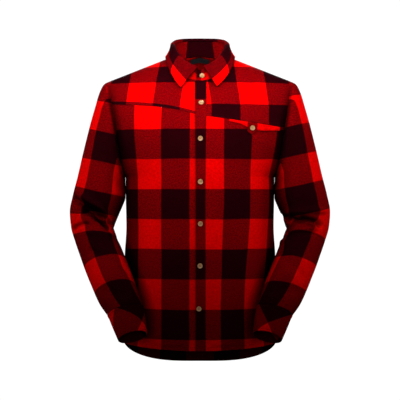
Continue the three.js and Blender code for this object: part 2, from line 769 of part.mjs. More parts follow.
const tabXs = range(4).map((t) => TAB.x + mix(-TAB.half, TAB.half, t));
const tabSpots = range(3).map((t) =>
  tabXs.map((x) => {
    const bottom = mix(TAB.point, TAB.sides, Math.abs(x - TAB.x) / TAB.half);
    return [x, leftHeight(TAB.x) - 1 - (1 - t) * bottom];
  }),
);
const TAB_LIFT = LIFT * 2 + CLOTH * 2;
piece("pocket_tab", strip(tabSpots, TAB_LIFT, CLOTH), "check");

const labelShares = range(4).map((t) => mix(-LABEL.half, LABEL.half, t) / SHOULDER_END.x);
const labelSpots = range(3).map((t) =>
  labelShares.map((share) => [levelAt("back", 0, mix(LABEL.bottom, LABEL.top, t)), share]),
);
piece("neck_label", raised(onFace("back", labelSpots), -CLOTH - LABEL.lift, CLOTH / 2), "label");

// Sleeve plackets, laid on the sleeves above the cuffs

function onSleeve(at, round, lift) {
  return add(sleevePoint(at, round), tubeSlope(at, round), lift);
}

const stripRounds = range(2).map(
  (t) => (SLEEVE_PLACKET.round + mix(-1, 1, t) * SLEEVE_PLACKET.half) * 2 * Math.PI,
);
const stripStations = range(5).map((t) => mix(SLEEVE_PLACKET.from, SLEEVE_PLACKET.to, t));
const stripPoints = stripStations.map((at) =>
  stripRounds.map((round) => onSleeve(at, round, LIFT * 3 + CLOTH)),
);
const stripNormals = stripStations.map((at) => stripRounds.map((round) => tubeSlope(at, round)));
for (const side of SIDES) {
  const body = cloth(side.turned(stripPoints), side.turned(stripNormals), CLOTH);
  piece(`sleeve_placket_${side.name}`, body, "check");
}

// Buttons: a flat back, a rounded edge and a raised rim round a shallow dish

const { radius, height: tall, segments } = BUTTON;
const PROFILE = [
  { r: radius * 0.94, h: 0 },
  { r: radius, h: tall * 0.3 },
  { r: radius, h: tall * 0.65 },
  { r: radius * 0.86, h: tall },
  { r: radius * 0.7, h: tall * 0.75 },
];

function button(name, centre, axis) {
  const side = unit(cross(axis, [0, 0, 1]));
  const up = cross(side, axis);
  const turns = range(segments).slice(1);
  const circle = PROFILE.flatMap(({ r, h }) =>
    turns.map((t) => {
      const angle = t * 2 * Math.PI;
      const p = add(add(centre, side, r * Math.cos(angle)), up, r * Math.sin(angle));
      return add(p, axis, h);
    }),
  );
  const corners = [...circle, centre, add(centre, axis, PROFILE[PROFILE.length - 1].h)];
  const [back, face] = [circle.length, circle.length + 1];
  const faces = [];
  for (let j = 0; j < segments; j++) {
    const next = (j + 1) % segments;
    faces.push([back, j, next]);
    for (let i = 0; i < PROFILE.length - 1; i++) {
      const [a, b] = [i * segments + j, i * segments + next];
      faces.push([a, a + segments, b + segments], [a, b + segments, b]);
    }
    const last = (PROFILE.length - 1) * segments;
    faces.push([face, last + next, last + j]);
  }
  piece(name, solid(corners, faces), "button");
}

function frontButton(name, x, height, lift) {
  const share = x / CHEST_HALF;
  const level = levelAt("front", Math.abs(share), height);
  const axis = bodyNormal("front", level, share);
  button(name, add(bodyPoint("front", level, share), axis, lift), axis);
}

FRONT_BUTTONS.forEach(({ x, height }, i) =>
  frontButton(`button_front_${i + 1}`, x, height, PROUD + LIFT),
);
frontButton("button_pocket", TAB.x, leftHeight(TAB.x) - TAB.button, TAB_LIFT + LIFT * 2);

const STAND_BUTTON = { angle: 4, share: 0.4, lift: 0.8 };
const standSpot = between(
  neckPoint(STAND_BUTTON.angle),
  foldPoint(STAND_BUTTON.angle),
  STAND_BUTTON.share,
);
const standRise = unit(minus(foldPoint(0), neckPoint(0)));
const standAxis = cross([1, 0, 0], standRise);
button("button_collar", add(standSpot, standAxis, STAND_BUTTON.lift), standAxis);

const cuffRound = SLEEVE_PLACKET.round * 2 * Math.PI;
for (const side of SIDES) {
  const axis = cuffSlope(1, cuffRound);
  const centre = add(cuffPoint(1, cuffRound), axis, CUFF_GAP + LIFT * 2);
  const place = ([x, y, z]) => [x * side.sign, y, z];
  button(`button_cuff_${side.name}`, place(centre), place(axis));
}

export default shirt;
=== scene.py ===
# %% [markdown]
# # A check flannel shirt, filled out as if worn
# The shirt is sewn from flat pieces: fronts, yokes, a back, sleeves, cuffs and a collar. Each
# piece is a smooth surface worked out from a few named sizes, then given a thickness.

# %% Start from the shared frame
import math
import bpy
import numpy as np
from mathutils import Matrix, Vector


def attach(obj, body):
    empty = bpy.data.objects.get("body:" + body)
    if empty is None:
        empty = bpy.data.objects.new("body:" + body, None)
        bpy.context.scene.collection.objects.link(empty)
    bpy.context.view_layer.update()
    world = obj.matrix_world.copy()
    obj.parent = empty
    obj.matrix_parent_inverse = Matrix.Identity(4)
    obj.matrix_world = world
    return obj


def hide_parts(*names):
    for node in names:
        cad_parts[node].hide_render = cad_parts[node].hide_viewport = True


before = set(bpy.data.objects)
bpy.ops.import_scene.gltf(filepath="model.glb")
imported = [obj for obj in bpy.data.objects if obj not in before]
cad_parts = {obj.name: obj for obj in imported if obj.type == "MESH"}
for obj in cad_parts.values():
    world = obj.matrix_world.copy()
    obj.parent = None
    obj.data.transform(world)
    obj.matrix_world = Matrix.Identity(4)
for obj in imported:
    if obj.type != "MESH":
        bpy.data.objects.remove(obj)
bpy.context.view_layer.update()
MM = 0.001

# %% [markdown]
# ## Sizes of the cut
# The tables are the part's own, in millimetres. Levels run from 0 at the hem, past 1 at the
# underarm, to 2 at the shoulder seam.

# %% Named sizes and tables
CLOTH, DOUBLE, SEAM = 1.5, 2.4, 0.3
UNDERARM, SIDE_HEM, MIDDLE_Y = -300.0, -728.0, 4.0
SHOULDER = (230.0, 8.0, -48.5)
NECK_HALF, CHEST_HALF = 82.0, 217.0
FRONT_NECK, BACK_NECK = 1.8, 1.9
PLACKET = (-12.6, 16.4)
LEVELS = [0, 0.25, 0.5, 0.75, 1, 1.25, 1.5, 1.75, 1.88, 1.94, 2]
FRONT_Z = [-739, -630, -520, -410, -300, -235, -165, -80, -10, 24, 41]
FRONT_Y = [-148, -146, -143, -141, -143, -142, -135, -104, -66, -36, -4]
BACK_LEVELS = [0, 0.25, 0.5, 0.75, 1, 1.25, 1.5, 1.75, 1.9, 1.95, 2]
BACK_Z = [-791, -665, -540, -420, -300, -225, -140, -45, 20, 36, 41]
BACK_Y = [148, 146, 142, 141, 146, 148, 139, 110, 72, 34, -4]
SIDE_LEVELS = [0, 0.25, 0.5, 0.7, 0.88, 1, 1.25, 1.5, 1.75, 2]
HALF = [198, 193, 196, 191.5, 193, 193.5, 203, 217, 229.5, 230]
# Degrees that a row has turned through at the armhole's widest, and at the shoulder's end
FRONT_TURN, BACK_TURN, SHOULDER_TURN = 62.0, 66.0, 56.0
ARMHOLE_FRONT, ARMHOLE_BACK = 72.0, 80.0  # how far the armhole bows forward and back
ARMHOLE_FULLNESS = 0.8  # below one, the armhole is fuller than an oval
STRAIGHTEN = 1.5  # rows above this level straighten towards the shoulder's seam
# The corner of the back's hem at each side, and the levels over which it fades
TAIL_POWER, TAIL_CORNER, TAIL_OVER = 3.0, 0.6, 0.6
YOKE_RIGHT = ([0, 50, 121, 225], [-145, -131, -120, -113])
YOKE_LEFT = ([0, 119, 213], [-144, -160, -173])
YOKE_BACK = 1.6
# Sleeve rings: outer x and z, inner x and z, middle y, half depth, forward tilt
SLEEVE = np.array([
    (230, -48.5, 193.5, -300, 4, 76, 0), (249, -58, 196, -303, 4, 78, 0),
    (262, -82, 196, -308, 4, 78, 0), (272.5, -117, 195.5, -315, 4, 77, 0),
    (283.5, -155, 195, -324, 4, 75, 0), (294.5, -198, 194.4, -336, 4, 72, 0),
    (306, -245, 194.2, -352, 3, 69, 0), (317.5, -295, 202, -374, 2, 65, 0),
    (330, -345, 211.5, -398, 1, 62, 2), (338, -390, 220.5, -424, 0, 60, 7),
    (335, -428, 221, -437, -6, 57, 16), (323.5, -466, 215, -456, -18, 54, 23),
    (308.5, -505, 202, -484, -38, 51, 26), (292, -546, 185, -524, -62, 47, 28),
    (272, -590, 168, -564, -89, 43, 28), (254, -624, 154, -600, -107, 40, 27),
    (234, -651, 144, -629, -118, 38, 27)], float)
CUFF = np.array([
    (233, -652, 143.6, -630, -118.5, 38, 27), (220, -682, 137.5, -663, -131, 37, 27),
    (206, -712, 133, -695, -143, 36, 27)], float)
# Collar: the top of its stand, then the leaf's edge, by degrees round the neck
FOLD = np.array([
    (0, 0, -80, -27), (20, 23, -76, -19), (45, 49, -57, 2), (70, 65, -24, 27),
    (90, 69, 7, 41), (120, 60, 40, 53), (150, 35, 60, 58), (180, 0, 66, 59)], float)
LEAF = np.array([
    (5, 39, 48, -75, 5), (25, 55, 60, -60, 5), (45, 70, 71, -40, 4), (65, 82, 81, -17, 0),
    (80, 87, 86, 0, -3), (95, 88, 87, 8, -3), (115, 83, 82, 3, 0), (135, 69, 69, 4, 3),
    (160, 37, 37, 7, 3), (180, 0, 0, 8, 3)], float)
ROLL = [(-DOUBLE, 0.4), (-1.6, 3.6), (2, 6), (6, 3.8)]
BUTTONS = [(3, -113), (1, -204), (1, -313), (1, -419), (0, -525), (-3, -633)]

# %% [markdown]
# ## Curves and surfaces
# `along` draws a smooth curve through a table's column without swinging past its values.
# The body's rows are arcs that turn from the middle of a face to its edge.

# %% The smooth curve and the body's surface
def along(keys, values, at):
    """A monotone cubic through (keys, values)."""
    x, y = np.asarray(keys, float), np.asarray(values, float)
    t = np.clip(np.asarray(at, float), x[0], x[-1])
    h = np.diff(x)
    d = np.diff(y) / h
    m = np.empty_like(y)
    m[0], m[-1] = d[0], d[-1]
    a, b = d[:-1], d[1:]
    m[1:-1] = np.where(a * b > 0, 2 * a * b / np.where(a + b == 0, 1, a + b), 0)
    i = np.clip(np.searchsorted(x, t, side="left") - 1, 0, len(h) - 1)
    s = (t - x[i]) / h[i]
    return (y[i] * (1 + 2 * s) * (1 - s) ** 2 + m[i] * h[i] * s * (1 - s) ** 2
            + y[i + 1] * s * s * (3 - 2 * s) + m[i + 1] * h[i] * s * s * (s - 1))


def ease(t):
    c = np.clip(t, 0, 1)
    return c * c * (3 - 2 * c)


def mix(a, b, t):
    return a + (b - a) * t


def unit(v):
    return v / np.maximum(np.linalg.norm(v, axis=-1, keepdims=True), 1e-12)


def body(front, level, share):
    """The outside of a face at (level, share); share is -1 to 1 across it."""
    level, share = np.broadcast_arrays(np.asarray(level, float), np.asarray(share, float))
    keys, zs, ys = (LEVELS, FRONT_Z, FRONT_Y) if front else (BACK_LEVELS, BACK_Z, BACK_Y)
    mid_z, mid_y = along(keys, zs, level), along(keys, ys, level)
    half = along(SIDE_LEVELS, HALF, level)
    around = (np.clip(level, 1, 2) - 1) * np.pi
    deep = -ARMHOLE_FRONT if front else ARMHOLE_BACK
    low = level <= 1
    bow = np.maximum(np.sin(around), 0) ** ARMHOLE_FULLNESS
    widest = math.cos(math.radians(FRONT_TURN if front else BACK_TURN))
    straight = np.clip((level - STRAIGHTEN) / (2 - STRAIGHTEN), 0, 1)
    bowed = np.arccos(widest * np.where(level < STRAIGHTEN, bow, 1))
    turn = mix(bowed, math.radians(SHOULDER_TURN), straight)
    edge_y = np.where(low, MIDDLE_Y, mix(MIDDLE_Y, SHOULDER[1], around / np.pi) + deep * bow)
    rise = (UNDERARM + SHOULDER[2]) / 2 + (UNDERARM - SHOULDER[2]) / 2 * np.cos(around)
    edge_z = np.where(low, mix(SIDE_HEM, UNDERARM, level), rise)
    faded = 1.0 if front else ease(level / TAIL_OVER)  # the tail drops round a corner at each side seam
    power = mix(mix(TAIL_POWER, 2.0, faded), 1.0, ease(straight))
    corner = mix(TAIL_CORNER, 1.0, faded)
    out = np.minimum(np.abs(share), 1)
    angle = np.arcsin(out * np.sin(turn))
    bend = (1 - np.cos(angle)) / (1 - np.cos(turn))
    y = mix(mid_y, edge_y, bend) + (-SEAM / 2 if front else SEAM / 2)
    z = mix(edge_z, mid_z, (1 - out ** power) ** corner)
    return np.stack([half * np.clip(share, -1, 1), y, z], -1)


def body_slope(front, level, share):
    """Outward direction of a face, for shares of either sign."""
    level, share = np.broadcast_arrays(np.asarray(level, float), np.asarray(share, float))
    e = 1e-4
    up = np.minimum(level, 2 - e)
    out = np.minimum(np.abs(share), 1 - e)
    p = body(front, up, out)
    n = unit(np.cross(body(front, up, out + e) - p, body(front, up + e, out) - p))
    n = n if front else -n
    return np.where((share < 0)[..., None], n * [-1, 1, 1], n)


HALVINGS = 40  # enough to place a point to well under a thousandth of a millimetre


def level_at(front, share, height):
    """The level at which a face reaches a height, found by halving."""
    low, high = np.zeros(np.shape(share)), np.full(np.shape(share), 2.0)
    for _ in range(HALVINGS):
        mid = (low + high) / 2
        below = body(front, mid, share)[..., 2] < height
        low, high = np.where(below, mid, low), np.where(below, high, mid)
    return (low + high) / 2


def yoke_level(front, share):
    out = np.abs(share)
    if not front:
        return np.full(np.shape(share), YOKE_BACK)
    right = along(*YOKE_RIGHT, out * CHEST_HALF)
    left = along(*YOKE_LEFT, out * CHEST_HALF)
    return level_at(True, out, np.where(share < 0, right, left))


def neck_level(front, share):
    bottom = FRONT_NECK if front else BACK_NECK
    out = np.minimum(1, np.abs(share) * SHOULDER[0] / NECK_HALF)
    return 2 - (2 - bottom) * np.sqrt(1 - out * out)

# %% [markdown]
# ## The sleeves
# A sleeve is a tube through rings. Its head takes the armhole's own shape. The elbow's creases
# are laid on as soft troughs and ridges, each with a place, a slant, a depth and a reach.

# %% The sleeve's surface
HEAD_RINGS = 3  # rings over which the armhole's own shape fades out


def ring(table, at, round_):
    at, round_ = np.broadcast_arrays(np.asarray(at, float), np.asarray(round_, float))
    keys = np.arange(len(table))
    ox, oz, ix, iz, my, dp, tilt = (along(keys, table[:, k], at) for k in range(7))
    lean = np.radians(tilt)
    w = (1 - np.cos(round_)) / 2
    x, z = mix(ix, ox, w), mix(iz, oz, w)
    s = dp * np.sin(round_)
    return np.stack([x, my - np.cos(lean) * s, z + np.sin(lean) * s], -1)


def armhole(round_):
    front = round_ <= np.pi
    level = 1 + np.where(front, round_, 2 * np.pi - round_) / np.pi
    return np.where(front[..., None], body(True, level, 1.0), body(False, level, 1.0))


def tube(at, round_):
    at, round_ = np.broadcast_arrays(np.asarray(at, float), np.asarray(round_, float))
    round_ = np.mod(round_, 2 * np.pi)
    head = np.maximum(0, 1 - at / HEAD_RINGS) ** 2
    shift = armhole(round_) - ring(SLEEVE, 0, round_)
    return ring(SLEEVE, at, round_) + shift * head[..., None]


def slope(surface, at, round_, last):
    e = 1e-4
    up = np.minimum(at, last - e)
    p = surface(up, round_)
    return unit(np.cross(surface(up + e, round_) - p, surface(up, round_ + e) - p))


def tube_slope(at, round_):
    return slope(tube, at, round_, len(SLEEVE) - 1)


def cuff_surface(at, round_):
    return ring(CUFF, at, round_)

# %% [markdown]
# ### Folds of the sleeves
# Small folds come from a table of places round the arm. The elbow's creases follow drawn paths.

# %% Sleeve folds
# ring, share of a turn, slant, depth in mm, width in rings, reach in turns
LEFT_FOLDS = [
    (9.6, 0.04, 0.0, -5, 0.45, 0.10), (9.8, 0.72, 3.0, 3, 0.8, 0.15), (7.2, 0.22, 5.0, 2.5, 0.7, 0.14),
    (11.7, 0.20, 3.0, -3, 0.45, 0.12), (12.6, 0.35, 4.0, -2.5, 0.55, 0.14),
    (13.7, 0.22, -3.0, 2.5, 0.5, 0.12), (14.7, 0.30, -3.0, -2.5, 0.45, 0.14),
    (15.4, 0.18, 2.0, 1.8, 0.35, 0.10), (4.6, 0.22, 7.0, -3, 0.8, 0.13), (6.0, 0.16, 7.0, 2.5, 0.9, 0.12),
    (3.0, 0.74, 5.0, -2.5, 0.9, 0.14), (5.4, 0.80, 6.0, 2.5, 0.9, 0.13), (8.2, 0.78, 4.0, -3, 0.6, 0.12),
    (7.0, 0.9, 0.0, 1.6, 0.8, 0.1)]
RIGHT_FOLDS = [
    (9.5, 0.05, 0.0, -5, 0.5, 0.10), (9.7, 0.70, 3.5, 3, 0.8, 0.15), (7.5, 0.24, 4.0, 2.5, 0.6, 0.13),
    (11.9, 0.22, 3.0, -3, 0.5, 0.12), (12.9, 0.33, 4.0, -2.5, 0.5, 0.15), (13.9, 0.24, -2.0, 2.5, 0.5, 0.12),
    (14.9, 0.28, -3.0, -2.2, 0.4, 0.14), (4.9, 0.20, 7.0, -3, 0.9, 0.13), (6.3, 0.15, 6.0, 2.5, 0.8, 0.12),
    (3.2, 0.76, 5.0, -2.5, 0.9, 0.14), (5.7, 0.79, 6.0, 2.5, 0.8, 0.13), (8.3, 0.77, 4.0, -3, 0.6, 0.12),
    (7.0, 0.9, 0.0, 1.6, 0.8, 0.1)]
# Elbow creases: depth and width in mm, then a path of ring and share of a turn
LEFT_CREASES = [
    (-15, 9, [(8.35, 0.06), (9.0, 0.14), (9.75, 0.21)]), (-15, 9, [(9.1, 0.2), (9.5, 0.25), (10.3, 0.34)]),
    (1.9, 16, [(1.0, 0.0), (5.0, 0.0)]),
    (6, 7, [(8.8, 0.1), (9.9, 0.22), (10.5, 0.33)]), (5, 9, [(8.0, 0.12), (8.5, 0.24), (8.9, 0.36)]),
    (-6, 8, [(8.1, -0.02), (8.3, 0.05)]), (-6, 8, [(10.9, 0.06), (11.1, 0.2), (11.0, 0.32)]),
    (4, 9, [(11.6, 0.04), (11.9, 0.18)]), (-4, 9, [(12.4, 0.1), (13.2, 0.24), (13.6, 0.36)])]
RIGHT_CREASES = [
    (8, 8, [(7.9, 0.34), (8.1, 0.19), (8.7, 0.11), (9.6, 0.06)]),
    (-13, 8, [(8.2, 0.44), (8.3, 0.34), (8.5, 0.24), (8.8, 0.18)]),
    (-19, 10, [(8.8, 0.3), (8.95, 0.24), (9.6, 0.17), (10.4, 0.12)]), (1.9, 16, [(1.0, 0.0), (5.0, 0.0)]),
    (-6, 7, [(10.4, 0.43), (10.15, 0.29)]), (-6, 8, [(10.5, 0.13), (11.2, 0.03)]),
    (4, 9, [(11.0, 0.3), (11.4, 0.16)]), (-4, 9, [(12.2, 0.34), (12.9, 0.2), (13.6, 0.1)])]
CREASES = {"left": LEFT_CREASES, "right": RIGHT_CREASES}
RING_STEP, ROUND_STEP = 38.0, 380.0  # mm of cloth from ring to ring, and all round


def creases(word, at, round_):
    """Soft troughs and ridges that follow drawn paths, as a bent elbow throws them."""
    turn = round_ / (2 * np.pi)
    spot = np.stack(np.broadcast_arrays(at * RING_STEP, (turn - np.round(turn)) * ROUND_STEP), -1)
    spot[..., 1] = np.where(spot[..., 1] < -0.25 * ROUND_STEP, spot[..., 1] + ROUND_STEP, spot[..., 1])
    total = np.zeros(spot.shape[:-1])
    for depth, width, path in CREASES[word]:
        corners = np.array(path) * [RING_STEP, ROUND_STEP]
        nearest = np.full(total.shape, np.inf)
        for a, b in zip(corners[:-1], corners[1:]):
            t = np.clip(((spot - a) @ (b - a)) / ((b - a) @ (b - a)), 0, 1)
            nearest = np.minimum(nearest, np.linalg.norm(spot - a - t[..., None] * (b - a), axis=-1))
        total += depth * np.exp(-(nearest / width) ** 2)
    return total


def folds(table, at, round_):
    total = np.zeros(np.broadcast(at, round_).shape)
    ends = ease(at / 2) * ease(len(SLEEVE) - 1 - at)
    for where, centre, slant, depth, width, reach in table:
        aside = round_ / (2 * np.pi) - centre
        aside = aside - np.round(aside)
        line = (at - where - slant * aside) / width
        total += ends * depth * np.exp(-line ** 2 - (aside / reach) ** 2)
    return total

# %% [markdown]
# ## Cloth from a grid
# A grid of outside points gets an inside at one cloth's thickness and a rim, so every edge shows
# its thickness. The UV map holds millimetres of cloth, so a material can draw a true-size weave.

# %% Objects, and lengths over a grid
def in_scene(name, data):
    """A new object in the scene, at the origin."""
    obj = bpy.data.objects.new(name, data)
    bpy.context.collection.objects.link(obj)
    return obj


def shaped(name, verts, faces, edges=(), smooth=False):
    """A new object with the given mesh, in metres."""
    mesh = bpy.data.meshes.new(name)
    mesh.from_pydata(verts, edges, faces)
    if smooth:
        mesh.polygons.foreach_set("use_smooth", [True] * len(faces))
    mesh.update()
    return in_scene(name, mesh)


def baked(obj):
    """The mesh that an object's modifiers give."""
    graph = bpy.context.evaluated_depsgraph_get()
    return bpy.data.meshes.new_from_object(obj.evaluated_get(graph))


def crisp(obj, angle=50):
    """Marks the rims sharp, so that flat faces stay flat and curves stay smooth."""
    obj.data.set_sharp_from_angle(angle=math.radians(angle))


def closed(p):
    """A grid with its first column again at the end."""
    return np.concatenate([p, p[:, :1]], 1)


def row_arc(p):
    """Arc length along each row of a grid, in mm, from its first column."""
    steps = np.linalg.norm(np.diff(p, axis=1), axis=-1)
    return np.concatenate([np.zeros((len(p), 1)), np.cumsum(steps, 1)], 1)


def column_arc(p):
    """Arc length down each column of a grid, in mm, from its first row."""
    steps = np.linalg.norm(np.diff(p, axis=0), axis=-1)
    return np.concatenate([np.zeros((1, p.shape[1])), steps.cumsum(0)])


def grid_normals(p, wraps=False):
    if wraps:
        across = np.roll(p, -1, 1) - np.roll(p, 1, 1)
    else:
        across = np.gradient(p, axis=1)
    return unit(np.cross(across, np.gradient(p, axis=0)))


# %% A closed piece of cloth
OUTSIDE = {}  # each piece's outside points and directions, for the stitching


def cloth(name, p, uv, thickness, wraps=False, normals=None):
    """A closed piece of cloth. p is rows x columns x 3 in mm, its outside face."""
    rows, cols = p.shape[:2]
    n = grid_normals(p, wraps) if normals is None else normals
    OUTSIDE[name] = (p, n)
    verts = np.concatenate([p.reshape(-1, 3), (p - n * thickness).reshape(-1, 3)]) * MM
    k, spans = rows * cols, cols if wraps else cols - 1
    i, j = np.meshgrid(np.arange(rows - 1), np.arange(spans), indexing="ij")
    nxt = (j + 1) % cols
    a, b, c, d = i * cols + j, i * cols + nxt, (i + 1) * cols + nxt, (i + 1) * cols + j
    outer = np.stack([a, b, c, d], -1).reshape(-1, 4)
    inner = outer[:, ::-1] + k
    loops = [("row", 0), ("row", rows - 1)] + ([] if wraps else [("col", 0), ("col", cols - 1)])
    rims = []
    for kind, at in loops:
        if kind == "row":
            js = np.arange(spans)
            s, t = at * cols + js, at * cols + (js + 1) % cols
            back = at == 0
        else:
            js = np.arange(rows - 1)
            s, t = js * cols + at, (js + 1) * cols + at
            back = at != 0
        quad = np.stack([s, t, t + k, s + k], -1)
        rims.append(quad[:, ::-1] if back else quad)
    faces = np.concatenate([outer, inner] + rims)
    flat_uv = uv[:, :cols].reshape(-1, 2)
    corner_uv = np.concatenate([flat_uv] * 2)[faces.reshape(-1)].reshape(-1, 4, 2)
    if wraps:  # the last column of faces ends on the map's own extra column
        last = np.concatenate([np.tile(j.reshape(-1) == cols - 1, 2)]
                              + [np.arange(spans) == cols - 1] * 2)
        closing = (faces % cols == 0) & last[:, None]
        corner_uv = np.where(closing[..., None], uv[(faces % k) // cols, cols], corner_uv)
    centre_out = np.einsum("ij,ij->", np.cross(verts[outer[:, 1]] - verts[outer[:, 0]],
                                               verts[outer[:, 2]] - verts[outer[:, 0]]),
                           n.reshape(-1, 3)[outer[:, 0]])
    if centre_out < 0:
        faces, corner_uv = faces[:, ::-1], corner_uv[:, ::-1]
    obj = shaped(name, verts.tolist(), faces.tolist(), smooth=True)
    mesh = obj.data
    layer = mesh.uv_layers.new(name="cloth_mm")
    layer.data.foreach_set("uv", (corner_uv * MM).reshape(-1))
    reverse = mesh.attributes.new("reverse", "FLOAT", "FACE")
    reverse.data.foreach_set("value", [float(len(outer) <= k < 2 * len(outer)) for k in range(len(faces))])
    mesh.update()
    crisp(obj)
    return obj

# %% [markdown]
# ## The weave's look
# A buffalo check crosses wide bands of red and black warp with the same bands of weft.
# Red over red is bright, black over black is near black, and a crossing shows both as a fine
# twill of red and black. The bands come from the cloth's own millimetres, so they follow every
# piece as it was cut.

# %% Material helpers
def srgb(code):
    """A linear colour from an sRGB hex code."""
    c = [int(code[k:k + 2], 16) / 255 for k in (1, 3, 5)]
    return tuple(x / 12.92 if x <= 0.04045 else ((x + 0.055) / 1.055) ** 2.4 for x in c) + (1.0,)


def add(nodes, kind, inputs=None, **settings):
    """Adds a node, sets it, and fills or links its inputs."""
    node = nodes.new(kind)
    for key, value in settings.items():
        setattr(node, key, value)
    for key, value in (inputs or {}).items():
        if isinstance(value, bpy.types.NodeSocket):
            nodes.id_data.links.new(value, node.inputs[key])
        else:
            node.inputs[key].default_value = value
    return node


def material(name):
    mat = bpy.data.materials.new(name)
    mat.use_nodes = True
    mat.node_tree.nodes.clear()
    return mat, mat.node_tree.nodes


BAND_U, BAND_V = 74.0, 76.0  # widths of one band, in mm
RED, BLACK = "#d60000", "#1e0003"
MIXED = 0.17  # how much of the red shows where red crosses black
BAND_EDGE = 0.03  # softness of a band's edge, as a share of the sine that makes the bands
SWAY, SWAY_BY = 9.0, 0.004  # waves to a metre, and the metres that a band sways from straight
TWILL = 900.0  # with the wave's scale of 0.35, a rib comes every 2 mm, as coarse as it has to be to show
GRAIN, NAP = 300.0, 170.0  # to a metre: specks of 3 mm, a few yarns wide, and nap in patches of 6 mm

# %% [markdown]
# ### Flannel
# Flannel is a brushed cotton twill. The brushing raises a nap, which leaves it matte, with hardly
# any shine. Its colour is darkened as painted shade where two faces come close, and on its reverse face.
# One function mixes the bands, the twill's ribs, the uneven yarn, the nap and the painted shade, so that
# every piece is of one cloth.

# %% The flannel
def flannel(name, phase_u=0.0, phase_v=0.0, reverse_shade=1.0, reach=0.03, mixed=MIXED):
    """Brushed check flannel. The phases move the bands, in mm; the reverse's factor darkens it as painted
    shade, reach is how near, in metres, other cloth must be to darken it as painted shade, and mixed is the
    red in a crossing."""
    mat, nodes = material(name)
    uv = add(nodes, "ShaderNodeUVMap", uv_map="cloth_mm")
    split = add(nodes, "ShaderNodeSeparateXYZ", {0: uv.outputs[0]})
    sway = add(nodes, "ShaderNodeTexNoise", {"Vector": uv.outputs[0], "Scale": SWAY, "Detail": 2.0})
    drift = add(nodes, "ShaderNodeMath", {0: sway.outputs[0], 1: 0.5}, operation="SUBTRACT")
    bands = []
    for axis, width, phase in ((0, BAND_U, phase_u), (1, BAND_V, phase_v)):
        moved = add(nodes, "ShaderNodeMath", {0: split.outputs[axis], 1: -phase * MM}, operation="ADD")
        wavy = add(nodes, "ShaderNodeMath", {0: drift.outputs[0], 1: SWAY_BY, 2: moved.outputs[0]},
                   operation="MULTIPLY_ADD")
        turns = add(nodes, "ShaderNodeMath", {0: wavy.outputs[0], 1: math.pi / (width * MM)},
                    operation="MULTIPLY")
        sine = add(nodes, "ShaderNodeMath", {0: turns.outputs[0]}, operation="SINE")
        edge = add(nodes, "ShaderNodeMapRange", {"Value": sine.outputs[0], "From Min": -BAND_EDGE,
                                                 "From Max": BAND_EDGE})
        bands.append(edge.outputs[0])
    # the twill's ribs run at 45 degrees across the threads
    thread = add(nodes, "ShaderNodeVectorMath", {0: uv.outputs[0], 1: (TWILL, TWILL, 1.0)},
                 operation="MULTIPLY")
    lines = add(nodes, "ShaderNodeTexWave", {"Vector": thread.outputs[0], "Scale": 0.35, "Distortion": 2.5,
                                             "Detail": 2.0, "Detail Scale": 1.5}, bands_direction="DIAGONAL")
    grain = add(nodes, "ShaderNodeTexNoise", {"Vector": uv.outputs[0], "Scale": GRAIN, "Detail": 3.0,
                                              "Roughness": 0.6})
    slub = add(nodes, "ShaderNodeTexNoise", {"Vector": uv.outputs[0], "Scale": NAP, "Detail": 4.0,
                                              "Roughness": 0.6})
    speck = add(nodes, "ShaderNodeMath", {0: lines.outputs["Fac"], 1: 0.35, 2: grain.outputs[0]},
                operation="MULTIPLY_ADD")
    speckle = add(nodes, "ShaderNodeMapRange", {"Value": speck.outputs[0], "From Min": 0.42, "From Max": 0.92,
                                                "To Min": mixed * 0.1, "To Max": mixed * 2.2})
    total = add(nodes, "ShaderNodeMath", {0: bands[0], 1: bands[1]}, operation="ADD")
    both = add(nodes, "ShaderNodeMath", {0: total.outputs[0], 1: 1.0}, operation="SUBTRACT", use_clamp=True)
    one = add(nodes, "ShaderNodeMath", {0: total.outputs[0], 1: 1.0}, operation="MINIMUM")
    half = add(nodes, "ShaderNodeMath", {0: one.outputs[0], 1: speckle.outputs[0]}, operation="MULTIPLY")
    red = add(nodes, "ShaderNodeMath", {0: both.outputs[0], 1: half.outputs[0]}, operation="MAXIMUM")
    tint = add(nodes, "ShaderNodeMix", {"Factor": red.outputs[0], "A": srgb(BLACK), "B": srgb(RED)},
               data_type="RGBA")
    nap = add(nodes, "ShaderNodeMapRange", {"Value": slub.outputs[0], "From Min": 0.25, "From Max": 0.75,
                                            "To Min": 0.74, "To Max": 1.2})
    # painted shade: the reverse face is darkened, since the shirt's inside lies in shade
    side = add(nodes, "ShaderNodeAttribute", attribute_name="reverse")
    painted_reverse_shade = add(nodes, "ShaderNodeMapRange", {"Value": side.outputs["Fac"], "To Min": 1.0, "To Max": reverse_shade})
    # painted shade: ambient occlusion darkens the colour wherever two faces of cloth come close
    near = add(nodes, "ShaderNodeAmbientOcclusion", {"Distance": reach}, samples=8)
    painted_crease_shade = add(nodes, "ShaderNodeMath", {0: near.outputs["AO"], 1: 1.5}, operation="POWER")
    level = add(nodes, "ShaderNodeMath", {0: nap.outputs[0], 1: painted_reverse_shade.outputs[0]}, operation="MULTIPLY")
    level = add(nodes, "ShaderNodeMath", {0: level.outputs[0], 1: painted_crease_shade.outputs[0]}, operation="MULTIPLY")
    shade = add(nodes, "ShaderNodeVectorMath", {0: tint.outputs["Result"], "Scale": level.outputs[0]},
                operation="SCALE")
    height = add(nodes, "ShaderNodeMath", {0: lines.outputs["Fac"], 1: grain.outputs[0]}, operation="ADD")
    bump = add(nodes, "ShaderNodeBump", {"Height": height.outputs[0], "Strength": 0.25, "Distance": 0.0006})
    skin = add(nodes, "ShaderNodeBsdfPrincipled",
               {"Base Color": shade.outputs[0], "Roughness": 0.95, "Specular IOR Level": 0.01,
                "Normal": bump.outputs[0]})
    add(nodes, "ShaderNodeOutputMaterial", {"Surface": skin.outputs[0]})
    return mat
